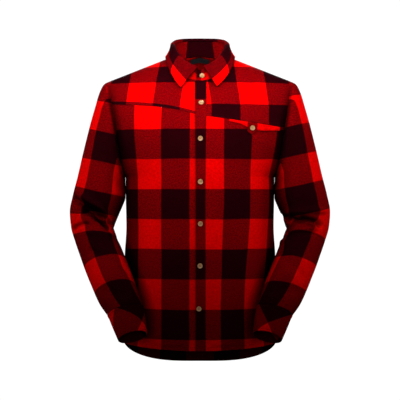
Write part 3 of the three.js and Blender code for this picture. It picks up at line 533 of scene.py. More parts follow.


# %% [markdown]
# ### Other finishes, and what every piece gets
# The label is a plain woven tape, the buttons are turned nut with a satin shine, and the thread is
# dull cotton. Each piece takes one finish and rides the shirt.

# %% Plain finishes and the pieces' labels
def plain(name, code, roughness, specular=0.3):
    mat, nodes = material(name)
    skin = add(nodes, "ShaderNodeBsdfPrincipled", {"Base Color": srgb(code), "Roughness": roughness,
                                                   "Specular IOR Level": specular})
    add(nodes, "ShaderNodeOutputMaterial", {"Surface": skin.outputs[0]})
    return mat


def finish_piece(obj, mat, nodes=()):
    """Puts on the finish, stands in for the CAD nodes given, if any, and rides the shirt."""
    obj.data.materials.append(mat)
    if nodes:
        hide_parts(*nodes)
    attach(obj, "root")


def flipped(p, side):
    """The same points on the shirt's other side, where side is -1."""
    return p * [side, 1, 1]


def sewn(name, node, grid, uv, thickness, mat, normals=None, side=1, wraps=False):
    """One cut of cloth in its finish, in the place of its CAD node."""
    n = None if normals is None else flipped(normals, side)
    obj = cloth(name, flipped(grid, side), uv, thickness, wraps=wraps, normals=n)
    finish_piece(obj, mat, [node])
    print(f"{name}: {grid.shape[0]} x {grid.shape[1]} points")


# %% [markdown]
# ## Fronts, yokes and back
# Each panel is a patch of the body's surface between two seams. Soft folds are laid on it one by one:
# they die out at the seams, so neighbouring pieces still meet.

# %% Soft folds on the body
# x and z where a fold is deepest, its direction in degrees from upright, length, width, depth
FRONT_FOLDS = [
    (-170, -245, 12, 120, 22, -5), (-150, -250, 8, 130, 26, 2.5), (172, -250, -10, 125, 22, -5),
    (150, -255, -8, 130, 26, 2.5), (-100, -190, 55, 90, 16, 1.6), (-60, -150, 70, 60, 10, -1.2),
    (110, -210, -50, 90, 18, 1.6), (-120, -430, 8, 200, 30, 2.2), (125, -450, -6, 200, 30, 2.2),
    (60, -560, 4, 150, 28, -1.8), (-70, -600, -5, 130, 26, -1.8), (-165, -520, 4, 160, 22, -2.4),
    (165, -540, -4, 160, 22, -2.4), (30, -330, 10, 120, 22, 1.2), (-38, -480, -6, 160, 20, 1.3),
    (0, -722, 90, 210, 5, 1.3), (40, -731, 90, 180, 4, -1.0), (-90, -700, 80, 60, 9, 1.6),
    (100, -706, -78, 60, 9, 1.6), (140, -205, -70, 60, 8, 1.4), (185, -150, 10, 60, 14, -2)]
BACK_FOLDS = [
    (-165, -240, -14, 130, 24, -5), (165, -245, 14, 130, 24, -5), (-60, -300, 5, 260, 34, 2.4),
    (70, -340, -6, 260, 34, 2.4), (0, -250, 2, 200, 24, -2.4), (-110, -480, 7, 220, 30, -2.2),
    (115, -500, -7, 220, 30, -2.2), (0, -640, 3, 180, 40, 2.0), (-150, -660, 4, 120, 24, 2.2),
    (150, -650, -4, 120, 24, 2.2), (0, -776, 90, 170, 5, 1.3)]


# Folds die out between this share and the side, and over this many mm beside the placket
FREE_SHARE, FREE_FROM, FREE_OVER = 0.93, 24, 22
# mm: the turned hem's width and lift, its edge's softness, and the dent along its stitches
HEM_WIDTH, HEM_LIFT, HEM_EDGE, HEM_DENT = 7.0, 0.9, 2.5, 0.5


def body_fold(front, p, share, level):
    total = np.zeros(share.shape)
    for x, z, lean, length, width, depth in (FRONT_FOLDS if front else BACK_FOLDS):
        a = math.radians(lean)
        dx, dz = p[..., 0] - x, p[..., 2] - z
        down = dx * math.sin(a) + dz * math.cos(a)
        across = dx * math.cos(a) - dz * math.sin(a)
        total += depth * np.exp(-(down / length * 1.8) ** 2 - (across / width) ** 2)
    hem = p[..., 2] - body(front, 0 * level, share)[..., 2]
    turned_up = HEM_LIFT * (1 - ease((hem - HEM_WIDTH) / HEM_EDGE))
    total += turned_up - HEM_DENT * np.exp(-((hem - HEM_WIDTH - 3) / HEM_EDGE) ** 2)
    side = 1 - ease((np.abs(share) - FREE_SHARE) / 0.07)
    middle = ease((np.abs(p[..., 0]) - FREE_FROM) / FREE_OVER) if front else 1.0
    return total * side * middle


VALLEY_DEPTH, VALLEY_WIDTH = 9.0, 12.0  # mm that an armhole's seam sinks, and how far to each side


def valley(front, level, away):
    """Both sides of an armhole's seam sink together; away is the distance from it in mm."""
    height = VALLEY_DEPTH * np.maximum(np.sin((np.clip(level, 1, 2) - 1) * np.pi), 0) ** 0.7
    return np.where(front, 1.0, -1.0) * height * np.exp(-(away / VALLEY_WIDTH) ** 2)


STEP_BACK, STEP_FROM = 2.2, 34  # mm back, and mm from the middle where the step starts


def step_back(p):
    """The right front steps back to pass under the placket."""
    q = p.copy()
    q[..., 1] += STEP_BACK * ease((p[..., 0] + STEP_FROM) / (PLACKET[0] - 4 + STEP_FROM))
    return q


EDGE_LIFT, EDGE_WIDTH = 1.3, 9.0  # mm that a yoke's turned edge stands off, and its width


def panel(name, front, shares, levels, uv_of, mat, node):
    s, _ = np.meshgrid(shares, np.arange(len(levels)))
    level = np.array([f(shares) for f in levels])
    base = body(front, level, s)
    n = body_slope(front, level, s)
    moved = base + n * body_fold(front, base, s, level)[..., None]
    moved[..., 1] += valley(front, level, (1 - np.abs(s)) * CHEST_HALF)
    if "yoke" in name:  # a yoke's edge is turned under, so it stands off the panel below
        down = column_arc(moved)
        ends = 1 - ease((np.abs(s) - FREE_SHARE) / 0.07)
        moved += n * (EDGE_LIFT * (1 - ease(down / EDGE_WIDTH)) * ends)[..., None]
    moved = step_back(moved) if name.startswith("right") else moved
    arcs = row_arc(base)
    zero = np.array([np.interp(0, base[i, :, 0], arcs[i]) for i in range(len(arcs))])
    left_out, right_out = np.maximum(base[:, 0, 0], 0), np.maximum(-base[:, -1, 0], 0)
    inner = left_out - right_out  # a panel that stops short of the middle starts at its own edge
    u = arcs - zero[:, None] + inner[:, None]
    sewn(name, node, moved, uv_of(u, base), CLOTH, mat, normals=grid_like(moved, n))


def grid_like(p, guide):
    n = grid_normals(p)
    sign = np.sign((n * guide).sum(-1).mean())
    out = n * sign
    out[[0, -1]], out[:, [0, -1]] = guide[[0, -1]], guide[:, [0, -1]]
    return out


def shares_from(edge, count):
    first = math.asin(edge / SHOULDER[0])
    return np.sin(np.linspace(first, math.pi / 2, count))


LEVEL_HEIGHT = 300.0  # mm from one level to the next, at the yokes' seams
GAP = SEAM / 2 / LEVEL_HEIGHT  # half a seam's gap, in levels
HEM_LEVEL = 0.06  # below it the rows lie close, for the turned hem


def lower_levels(front, rows=84, upper=46):
    low = np.concatenate([np.linspace(0, HEM_LEVEL, 16), np.linspace(HEM_LEVEL, 1, rows)[1:]])
    below = [lambda s, t=t: np.full(s.shape, t) for t in low]
    above = [lambda s, t=t: mix(1, yoke_level(front, s) - GAP, t) for t in np.linspace(0, 1, upper)[1:]]
    return below + above


def yoke_levels(front, rows=44):
    def top(s):
        return np.where(np.abs(s) * SHOULDER[0] < NECK_HALF, neck_level(front, s), 2.0)
    return [lambda s, t=t: mix(yoke_level(front, s) + GAP, top(s), t) for t in np.linspace(0, 1, rows)]


def yoke_shares(edge, neck=26, rest=34):
    first = math.asin(edge / NECK_HALF)
    near = np.sin(np.linspace(first, math.pi / 2, neck)) * NECK_HALF / SHOULDER[0]
    return np.concatenate([near, np.linspace(near[-1], 1, rest)[1:]])


def mirror(shares, *more):
    return np.concatenate([-shares[::-1], np.array(more)])

# %% [markdown]
# ### Where the check falls
# The bands are the same cloth everywhere, but each panel was laid on it at its own place.

# %% Cloth coordinates of the panels
YOKE_RISE = ([-260, -115.5, -58.7, -16.4, 8, 45], [-170, 0, 76, 152, 205, 300])
CHEST_FROM, CHEST_EASE = 165, 0.12
DRAWN_FROM, DRAWN_OVER, DRAWN_IN = -330, 320, 0.16
# The yokes' lean towards the neck, where it starts and ends, and how far each yoke's check is drawn out
YOKE_LEAN, LEAN_FROM, LEAN_LEAST = 0.14, 92, -30
RIGHT_EASE, LEFT_EASE = 1.065, 1.007
# The right yoke's black row: its level edge, how far it may sink to follow the seam, and its fading out
ROW_EDGE, ROW_ABOVE, ROW_SINK, ROW_FADE = -115.5, 7, -9, (-62, 45)


def front_uv(u, p):
    z = p[..., 2]
    return np.stack([u, z + CHEST_EASE * np.maximum(z + CHEST_FROM, 0)], -1)


def yoke_uv(u, p):
    """The yokes' columns lean in towards the neck."""
    x, z = p[..., 0], p[..., 2]
    leaned = x + np.sign(x) * YOKE_LEAN * np.maximum(z + LEAN_FROM, LEAN_LEAST) * ease(np.abs(x) / 20)
    seam = along(*YOKE_RIGHT, -x) + ROW_ABOVE  # the black row follows the right yoke's seam as a sliver
    fade = ease((ROW_FADE[0] - z) / ROW_FADE[1])
    sunk = np.where(x < 0, np.maximum(ROW_EDGE - seam, ROW_SINK), 0) * fade
    return np.stack([leaned * np.where(x < 0, RIGHT_EASE, LEFT_EASE), along(*YOKE_RISE, z + sunk)], -1)


def back_yoke_uv(u, p):
    return np.stack([u, along(*YOKE_RISE, p[..., 2])], -1)


def left_front_uv(u, p):
    """The left front hangs in soft folds towards its hem, so its columns draw together there."""
    drawn = 1 + DRAWN_IN * ease((DRAWN_FROM - p[..., 2]) / DRAWN_OVER)
    return front_uv(u * drawn, p)


# %% The panels' flannel
check_right = flannel("flannel, right front", -26.5, -483.4)
check_left = flannel("flannel, left front", -13, -483.4)
check_yoke_right = flannel("flannel, right yoke", -50, 0)
check_yoke_left = flannel("flannel, left yoke", -48.4, 0)
# the back's and the back yoke's reverse faces are darkened, as painted shade inside the shirt
check_back = flannel("flannel, back", -37, -483.4, reverse_shade=0.12)
check_back_yoke = flannel("flannel, back yoke", -37, 0, reverse_shade=0.2)

# %% [markdown]
# ### The six panels
# A column of each panel is a share of the shirt's half width; a row is a level between two seams.

# %% The six panels
left_edge = PLACKET[1] + SEAM
under = (-0.03, 0, 0.03, 12 / SHOULDER[0])  # the right front runs on under the placket
half_yoke = yoke_shares(0)
whole_yoke = np.concatenate([-half_yoke[:0:-1], half_yoke])
whole_back = np.sin(np.linspace(-math.pi / 2, math.pi / 2, 150))
panel("left_front", True, shares_from(left_edge, 70), lower_levels(True), left_front_uv, check_left,
      "front_left")
panel("right_front", True, mirror(shares_from(13, 76), *under), lower_levels(True), front_uv, check_right,
      "front_right")
panel("left_yoke", True, yoke_shares(left_edge), yoke_levels(True), yoke_uv, check_yoke_left,
      "yoke_front_left")
panel("right_yoke", True, mirror(yoke_shares(13), *under), yoke_levels(True), yoke_uv, check_yoke_right,
      "yoke_front_right")
panel("back_panel", False, whole_back, lower_levels(False), front_uv, check_back, "back")
panel("yoke_of_back", False, whole_yoke, yoke_levels(False), back_yoke_uv, check_back_yoke, "back_yoke")

# %% [markdown]
# ## Sleeves and cuffs
# The grain of a sleeve runs down its middle, so the bands lie square to the arm above the elbow
# and square to the forearm below it.

# %% The sleeves' cloth coordinates
# Directions down the upper arm and the forearm, and the elbow's place in mm
UPPER = np.array([0.215, 0, -0.977])
LOWER = np.array([-0.356, -0.443, -0.822])
ELBOW = np.array([280.0, -3.0, -418.0])
ELBOW_V = float((ELBOW - np.array(SHOULDER)) @ UPPER)
BEND_FROM, BEND_OVER = 8.8, 1.6  # the elbow's ring, and the rings over which the check turns with it
FOREARM_EASE = 0.97


def sleeve_uv(p, at, shift):
    """Cloth millimetres: round the arm from its outer edge, and down from the shoulder's end."""
    ring_closed = closed(p)
    bent = ease((at[:, :1] - BEND_FROM) / BEND_OVER)
    axis = unit(mix(UPPER, LOWER, bent[..., None]))
    steps = np.diff(ring_closed, axis=1)
    steps -= (steps * axis).sum(-1, keepdims=True) * axis
    arc = np.concatenate([np.zeros((len(p), 1)), np.cumsum(np.linalg.norm(steps, axis=-1), 1)], 1)
    u = arc[:, len(ROUNDS) // 2][:, None] - arc
    upper = (ring_closed - np.array(SHOULDER)) @ UPPER
    lower = ELBOW_V + (ring_closed - ELBOW) @ LOWER * FOREARM_EASE
    at = closed(at)
    v = mix(upper, lower, bent)
    return np.stack([u + shift[0](at, u), v + shift[1](at, u)], -1)


ROUNDS = np.linspace(0, 2 * np.pi, 133)[:-1]
STATIONS = np.concatenate([np.linspace(0, 3, 40), np.linspace(3, 8, 62)[1:], np.linspace(8, 11.5, 74)[1:],
                           np.linspace(11.5, 16, 66)[1:]])


# %% Cloth that an elbow's folds swallow, and the forearm's narrower cut
def left_round(at, u):
    """Mm that the left sleeve's check shifts round the arm; the next shifts it down the arm."""
    forearm = ease((at - 10) / 3)
    return (0.38 * forearm - 0.1) * np.maximum(u - 64, 0)


def left_down(at, u):
    return ease((at - 9) / 1.2) * (24 - 0.2 * np.clip(u, -60, 150))


def right_round(at, u):
    return ease((at - 10) / 3) * (0.2 * u - 5.5)


def right_down(at, u):
    near = np.clip(u, -60, 150)
    forearm = ease((at - 8.9) / 1.1) * (35 - 0.0015 * (near - 20) ** 2)
    elbow = np.exp(-((at - 10.3) / 0.8) ** 2) * (12 - 0.45 * (near - 30))
    above = 0.35 * np.exp(-((at - 8.7) / 0.5) ** 2) * np.maximum(near - 30, 0)
    return forearm + elbow + above


# Each arm's side, folds, the check's place on its sleeve, the swallowed cloth and the cuff's check
SIDES = [("left", 1, LEFT_FOLDS, (-10.0, 43.0), (left_round, left_down), (84.0, -6.0)),
         ("right", -1, RIGHT_FOLDS, (-11.0, 60.0), (right_round, right_down), (-43.0, -27.5))]

# %% A sleeve
def sleeve(word, side, table, first, shift):
    at, rnd = np.meshgrid(STATIONS, ROUNDS, indexing="ij")
    base = tube(at, rnd)
    n = tube_slope(at, rnd)
    moved = base + n * (folds(table, at, rnd) + creases(word, at, rnd))[..., None]
    level = 1 + np.where(rnd <= np.pi, rnd, 2 * np.pi - rnd) / np.pi
    moved[..., 1] += valley(rnd <= np.pi, level, at * 34)
    moved[0] += unit(moved[1] - moved[0]) * SEAM
    nn = grid_normals(moved, wraps=True)
    nn *= np.sign((nn * n).sum(-1).mean())
    nn[0], nn[-1] = n[0], n[-1]
    # painted shade: the sleeve's reverse is darkened, and cloth within 0.1 m darkens its colour
    mat = flannel(f"flannel, {word} sleeve", *first, reverse_shade=0.4, reach=0.1)
    sewn(f"{word}_sleeve", f"sleeve_{word}", moved, sleeve_uv(base, at, shift), CLOTH, mat,
         normals=nn, side=side, wraps=True)


# %% [markdown]
# ### The cuffs
# A cuff is a doubled band, cut on the slant of the check and a little proud where it meets the sleeve.

# %% A cuff
CUFF_GAP, CUFF_PROUD, CUFF_EDGE = 0.4, 1.2, 0.14  # mm off the sleeve, mm more at its top, rings of that
CUFF_RADIUS, CUFF_STEP, CUFF_TURN = 41, 34, math.radians(38)  # mm, mm from ring to ring, the slant


def cuff(word, side, cuff_at):
    at, rnd = np.meshgrid(np.linspace(0, 2, 26), ROUNDS, indexing="ij")
    n = slope(cuff_surface, at, rnd, 2)
    base = cuff_surface(at, rnd) + n * (CUFF_GAP + CUFF_PROUD * np.exp(-(at / CUFF_EDGE) ** 2))[..., None]
    around = (np.pi - np.append(ROUNDS, 2 * np.pi))[None] * CUFF_RADIUS + 0 * at[:, :1]
    down = at[:, :1] * CUFF_STEP + 0 * around
    turned_u = around * math.cos(CUFF_TURN) + down * math.sin(CUFF_TURN)
    turned_v = down * math.cos(CUFF_TURN) - around * math.sin(CUFF_TURN)
    # painted shade: the cuff's reverse is darkened
    mat = flannel(f"flannel, {word} cuff", *cuff_at, reverse_shade=0.3)
    sewn(f"{word}_cuff", f"cuff_{word}", base, np.stack([turned_u, turned_v], -1), DOUBLE, mat,
         normals=n, side=side, wraps=True)


# %% Both arms
for word, side, table, first, shift, cuff_at in SIDES:
    sleeve(word, side, table, first, shift)
    cuff(word, side, cuff_at)

# %% [markdown]
# ## The placket, the collar and the small pieces
# A placket is a folded band sewn to the left front's edge. What lies on a panel is made from the
# panel's own points and moved out, so it follows every curve.

# %% The placket
def from_points(front, level, share, lift):
    return body(front, level, share) + body_slope(front, level, share) * lift


PLACKET_COLUMNS, PLACKET_LIFT, PLACKET_THICK = 17, 0.9, 1.9
placket_rows = lower_levels(True) + yoke_levels(True)[1:]
share = np.linspace(PLACKET[0], PLACKET[1], PLACKET_COLUMNS) / SHOULDER[0]
level = np.array([f(np.abs(share)) - GAP for f in placket_rows])
level[0] = 0
s = np.broadcast_to(share, level.shape)
column = np.arange(PLACKET_COLUMNS)
edge = np.minimum(column, 16 - column) / 16
soft = 0.5 * ease(edge * 14) - 0.5  # the folded edges lie half a millimetre lower
n = body_slope(True, level, s)
grid = from_points(True, level, s, PLACKET_LIFT) + n * soft[None, :, None]
uv = np.stack([s * SHOULDER[0] + 20, along(LEVELS, FRONT_Z, level)], -1)
check_placket = flannel("flannel, placket", 74 - 37, -483.4)
sewn("front_band", "placket", grid, uv, PLACKET_THICK, check_placket, normals=n)

# %% [markdown]
# ### The collar's stand
# The stand rises from the neckline to the fold. Its ends lap at the front, left over right.

# %% The neckline and the collar's stand
STAND_GAP = 1.3  # mm: the stand steps over the lapped fronts


def half_turn(angle):
    """Degrees from the front's middle, 0 to 180, and the side they are on."""
    a = np.mod(angle, 360.0)
    return np.where(a > 180, 360 - a, a), np.where(a > 180, -1.0, 1.0)


def tuck(angle):
    """Mm that the right end of the collar steps back to pass under the left."""
    return 3.4 * ease((angle - 318) / 28)


def neck_point(angle):
    turned, side = half_turn(angle)
    share = NECK_HALF / SHOULDER[0] * np.sin(np.radians(turned))
    f = body(True, neck_level(True, share), share)
    b = body(False, neck_level(False, share), share)
    p = np.where((turned <= 90)[..., None], f, b)
    return np.stack([p[..., 0] * side, p[..., 1] + tuck(angle), p[..., 2] + STAND_GAP], -1)


def fold_point(angle):
    turned, side = half_turn(angle)
    x, y, z = (along(FOLD[:, 0], FOLD[:, k], turned) for k in (1, 2, 3))
    return np.stack([x * side, y + tuck(angle), z], -1)


STAND_ENDS, LEAF_ENDS = (-6.3, 368.4), (8.5, 354.8)  # degrees round the neck


def round_neck(ends, side, back):
    """Degrees round the neck, closer together at the front."""
    return np.concatenate([np.linspace(ends[0], 90, side), np.linspace(90, 270, back)[1:],
                           np.linspace(270, ends[1], side)[1:]])


angles = round_neck(STAND_ENDS, 60, 110)
t = np.linspace(0, 1, 16)[:, None, None]
stand = mix(neck_point(angles)[None], fold_point(angles)[None], t)
along_u = row_arc(stand[8:9])[0]
u = np.broadcast_to(along_u - np.interp(180, angles, along_u), stand.shape[:2])
v = t[..., 0] * 38 - 30 + np.maximum(np.abs(u) - 120, 0) * 0.75  # its ends dip across the check
sewn("stand_of_collar", "collar_stand", stand, np.stack([u, v], -1), DOUBLE,
     flannel("flannel, collar stand", 37, 14))

# %% [markdown]
# ### The collar's leaf
# The leaf starts on the stand's top, rolls over it and falls to the yokes. Its points are the
# narrow ends of the same curve.

# %% The leaf's edge and its way out of the neck
LEAF_LIFT = DOUBLE + 3  # mm that its outside stands off the yokes


def leaf_edge(angle):
    """The leaf's free edge, laid on the yokes."""
    turned, side = half_turn(angle)
    x = np.where(side > 0, along(LEAF[:, 0], LEAF[:, 1], turned), along(LEAF[:, 0], LEAF[:, 2], turned))
    height = along(LEAF[:, 0], LEAF[:, 3], turned)
    share = x / SHOULDER[0]
    out = []
    for front in (True, False):
        lv = np.minimum(level_at(front, share, height), 2)
        out.append(from_points(front, lv, share, LEAF_LIFT))
    p = np.where((turned <= 90)[..., None], out[0], out[1])
    return p * np.stack([side, np.ones_like(side), np.ones_like(side)], -1)


def out_of_neck(angle):
    """The level direction that points away from the neck."""
    a, b = fold_point(angle + 1), fold_point(angle - 1)
    d = np.stack([a[..., 1] - b[..., 1], b[..., 0] - a[..., 0], np.zeros(np.shape(angle))], -1)
    return unit(d)


def between(rows, q):
    """A smooth row at place q among the given rows."""
    flat = rows.reshape(len(rows), -1)
    return np.array([along(np.arange(len(rows)), column, q) for column in flat.T]).reshape(-1, 3)


# %% Leaf
angles = round_neck(LEAF_ENDS, 70, 120)
fold, out = fold_point(angles), out_of_neck(angles)
roll = np.array([fold + out * o + np.array([0, 0, up]) for o, up in ROLL])
bulge = along(LEAF[:, 0], LEAF[:, 4], half_turn(angles)[0])[:, None]
edge = leaf_edge(angles)
fine = [between(roll, q) for q in np.linspace(0, len(ROLL) - 1, 12)]
fall = [mix(roll[-1], edge, t) + out * bulge * 4 * t * (1 - t) for t in np.linspace(0, 1, 26)[1:]]
leaf = np.array(fine + fall)
down = column_arc(leaf)
u = np.broadcast_to(row_arc(leaf[20:21])[0], leaf.shape[:2])
half_u = u[0, -1] / 2
u = half_u - np.abs(u - half_u)  # the check runs from each point to the back
uv = np.stack([u, down[-1:] - down], -1)
# painted shade: the leaf's crossings show less red than on the other pieces, for the shade over the leaf
check_leaf = flannel("flannel, collar leaf, painted shade in its crossings", -12, -54, mixed=0.1)
sewn("leaf_of_collar", "collar_leaf", leaf, uv, DOUBLE, check_leaf)

# %% [markdown]
# ### The pocket
# The welt hangs from the left yoke's seam; the pointed tab closes it with one button.

# %% Pocket welt
def left_height(x):
    """The height of the left yoke's seam."""
    return along(*YOKE_LEFT, x)


def on_face(x, height, lift):
    """Points of the front at each x and height, a set lift off it, with their outward directions."""
    share = x / CHEST_HALF
    level = level_at(True, share, height)
    n = body_slope(True, level, share)
    return body(True, level, share) + n * lift, n


WELT = ([73, 105, 122, 150, 180, 203], [5, 8, 13, 17, 13, 9])  # mm from the middle, and its depth there
WELT_LIFT, WELT_BULGE, SEAM_DROP = 1.8, 0.6, 1
x = np.linspace(73, 203, 90)[None] * np.ones((14, 1))
t = np.linspace(0, 1, 14)[:, None]
height = left_height(x) - SEAM_DROP - (1 - t) * along(*WELT, x)
ripple = 0.5 * np.sin(x * 0.55 + t * 2) * np.sin(np.pi * t) * ease((x - 118) / 20)
grid, n = on_face(x, height, (WELT_LIFT + ripple + WELT_BULGE * np.sin(np.pi * t))[..., None])
uv = np.stack([x * 0.4, t * 20 + 0 * x], -1)
sewn("welt_of_pocket", "pocket_welt", grid, uv, CLOTH, flannel("flannel, pocket welt", 10, -20), normals=n)

# %% Pocket tab
TAB_X, TAB_HALF, TAB_SIDES, TAB_POINT, TAB_LIFT = 132.0, 11.6, 22.0, 30.0, 3.6
x = np.linspace(-1, 1, 21)[None] * np.ones((16, 1))
t = np.linspace(0, 1, 16)[:, None]
height = left_height(TAB_X) - SEAM_DROP - (1 - t) * mix(TAB_POINT, TAB_SIDES, np.abs(x))
grid, n = on_face(TAB_X + x * TAB_HALF, height, TAB_LIFT)
uv = np.stack([x * TAB_HALF + 110, height], -1)
sewn("tab_of_pocket", "pocket_tab", grid, uv, CLOTH, flannel("flannel, pocket tab", 0, -220), normals=n)

# %% [markdown]
# ### The label and the sleeves' plackets
# The label lies inside the back of the neck, plain black. A placket strip edges each sleeve's slit.

# %% Neck label, plain black
LABEL_HALF, LABEL_BOTTOM, LABEL_TOP, LABEL_IN, LABEL_THICK = 25, 6.0, 18.5, 2.7, 0.75
t = np.linspace(0, 1, 10)[:, None]
share = np.linspace(-LABEL_HALF, LABEL_HALF, 30)[None] * np.ones((10, 1)) / SHOULDER[0]
level = level_at(False, np.zeros(10), mix(LABEL_BOTTOM, LABEL_TOP, t[:, 0]))[:, None] * np.ones((1, 30))
n = body_slope(False, level, share)
grid = body(False, level, share) - n * LABEL_IN
uv = np.stack([share * SHOULDER[0], t * 17 + 0 * share], -1)
tape = plain("woven label tape, plain black", "#0b0b0d", 0.8, 0.2)
sewn("label_in_neck", "neck_label", grid, uv, LABEL_THICK, tape, normals=n)

# %% Sleeve plackets
SLIT_TURN, SLIT_HALF = 0.74, 0.035  # the slit's place and its strip's half width, as shares of a turn
SLIT_RINGS, SLIT_LIFT = (13.2, 15.7), 2.4
strip = (SLIT_TURN + np.linspace(-1, 1, 12) * SLIT_HALF) * 2 * np.pi
at, rnd = np.meshgrid(np.linspace(*SLIT_RINGS, 30), strip, indexing="ij")
n = tube_slope(at, rnd)
uv = np.stack([rnd * 44, at * 36], -1)
for word, side, table, _, _, _ in SIDES:
    grid = tube(at, rnd) + n * (folds(table, at, rnd) + SLIT_LIFT)[..., None]
    mat = flannel(f"flannel, {word} sleeve placket", 0, 30)
    sewn(f"{word}_sleeve_placket", f"sleeve_placket_{word}", grid, uv, CLOTH, mat, normals=n, side=side)

# %% [markdown]
# ## Buttons
# Each button is a turned disc with a dished face and four holes, sewn on with thread through
# them. The front hides the thread's back, so only the crossing on the face is made.

# %% A button
BUTTON_R, BUTTON_H = 6.35, 2.6
HOLE = 1.55  # from a button's middle to a hole, across and up, in mm
HOLE_R, THREAD_R = 0.85, 0.22
wood = plain("turned corozo nut, satin", "#a67a4c", 0.42, 0.45)
thread = plain("sewing thread, dark red", "#3a0a0c", 0.9, 0.1)
# share of the radius, share of the height, from the back's edge over the rim to the dish
PROFILE = [(0.94, 0), (1, 0.3), (1, 0.65), (0.97, 0.86), (0.9, 1.0), (0.84, 0.98), (0.74, 0.72), (0.6, 0.62)]
DISH = 0.6  # share of the height at which the dish's floor lies
SPOKES = 48


def button(name, node, centre, axis):
    axis = unit(np.asarray(axis, float))
    side = unit(np.cross(axis, [0, 0, 1.0]))
    up = np.cross(side, axis)
    turns = np.linspace(0, 2 * np.pi, SPOKES + 1)[:-1]
    verts, faces = [], []
    for r, h in PROFILE:
        verts += [centre + side * BUTTON_R * r * math.cos(a) + up * BUTTON_R * r * math.sin(a)
                  + axis * BUTTON_H * h for a in turns]
    last = (len(PROFILE) - 1) * SPOKES
    for first in range(0, last, SPOKES):
        for j in range(SPOKES):
            a, b = first + j, first + (j + 1) % SPOKES
            faces.append((a, b, b + SPOKES, a + SPOKES))
    verts += [centre, centre + axis * BUTTON_H * DISH]
    for j in range(SPOKES):
        faces.append((len(verts) - 2, (j + 1) % SPOKES, j))
        faces.append((len(verts) - 1, last + j, last + (j + 1) % SPOKES))
    obj = shaped(name, [tuple(v * MM) for v in verts], faces, smooth=True)
    drill(obj, centre, side, up, axis)
    crisp(obj, 40)
    finish_piece(obj, wood, [node])
    finish_piece(stitch_cross(name + "_thread", centre, side, up, axis), thread)


# %% Its holes and its thread
def rod(a, b, r, sides=10):
    """Corners and faces of a closed straight rod between two points."""
    axis = unit(b - a)
    x = unit(np.cross(axis, [0.31, 0.2, 0.93]))
    y = np.cross(axis, x)
    ang = np.linspace(0, 2 * np.pi, sides + 1)[:-1]
    circle = [x * r * math.cos(t) + y * r * math.sin(t) for t in ang]
    verts = [a + c for c in circle] + [b + c for c in circle]
    faces = [(j, (j + 1) % sides, (j + 1) % sides + sides, j + sides) for j in range(sides)]
    return verts, faces + [tuple(range(sides))[::-1], tuple(range(sides, 2 * sides))]


def join(name, parts):
    verts, faces = [], []
    for v, f in parts:
        faces += [tuple(k + len(verts) for k in face) for face in f]
        verts += list(v)
    return shaped(name, [tuple(np.asarray(v) * MM) for v in verts], faces)


def drill(obj, centre, side, up, axis):
    holes = [centre + side * sx * HOLE + up * sy * HOLE for sx in (-1, 1) for sy in (-1, 1)]
    cutter = join("cutter", [rod(h - axis, h + axis * 4, HOLE_R, 16) for h in holes])
    cut = obj.modifiers.new("holes", "BOOLEAN")
    cut.object, cut.operation, cut.solver = cutter, "DIFFERENCE", "EXACT"
    mesh = baked(obj)
    obj.modifiers.clear()
    obj.data = mesh
    bpy.data.objects.remove(cutter)


def stitch_cross(name, centre, side, up, axis):
    top = centre + axis * (BUTTON_H * DISH + 0.25)
    parts = []
    for s1 in (-1, 1):
        for k in (-0.22, 0.22):
            a = top - side * HOLE - up * HOLE * s1 + up * k
            b = top + side * HOLE + up * HOLE * s1 + up * k
            parts.append(rod(a - axis * 0.5, b - axis * 0.5 + axis * (0.1 + 0.2 * s1), THREAD_R, 8))
    return join(name, parts)


# %% [markdown]
# ### Where the buttons sit
# Six on the placket, one on the pocket's tab, one on the stand and one on each cuff.

# %% The ten buttons
def front_button(name, node, x, height, lift):
    button(name, node, *on_face(x, height, lift))


for k, (x, height) in enumerate(BUTTONS):
    front_button(f"disc_front_{k + 1}", f"button_front_{k + 1}", x, height, 1.2)
front_button("disc_pocket", "button_pocket", TAB_X, float(left_height(TAB_X)) - 15, 4.2)
spot = mix(neck_point(np.array(4.0)), fold_point(np.array(4.0)), 0.4)
rise = unit(fold_point(np.array(0.0)) - neck_point(np.array(0.0)))
axis = np.cross([1.0, 0, 0], rise)
button("disc_collar", "button_collar", spot + axis * 0.8, axis)
for word, side, _, _, _, _ in SIDES:
    rnd = np.array(SLIT_TURN * 2 * np.pi)
    axis = slope(cuff_surface, np.array(1.0), rnd, 2)
    centre = cuff_surface(np.array(1.0), rnd) + axis
    button(f"disc_cuff_{word}", f"button_cuff_{word}", flipped(centre, side), flipped(axis, side))
print(len(BUTTONS) + 4, "buttons")

# %% [markdown]
# ## Stitching
# Every visible seam is topstitched. One node group turns a line into a row of stitches: it spaces
# points along the line and sets one long bead of thread on each.

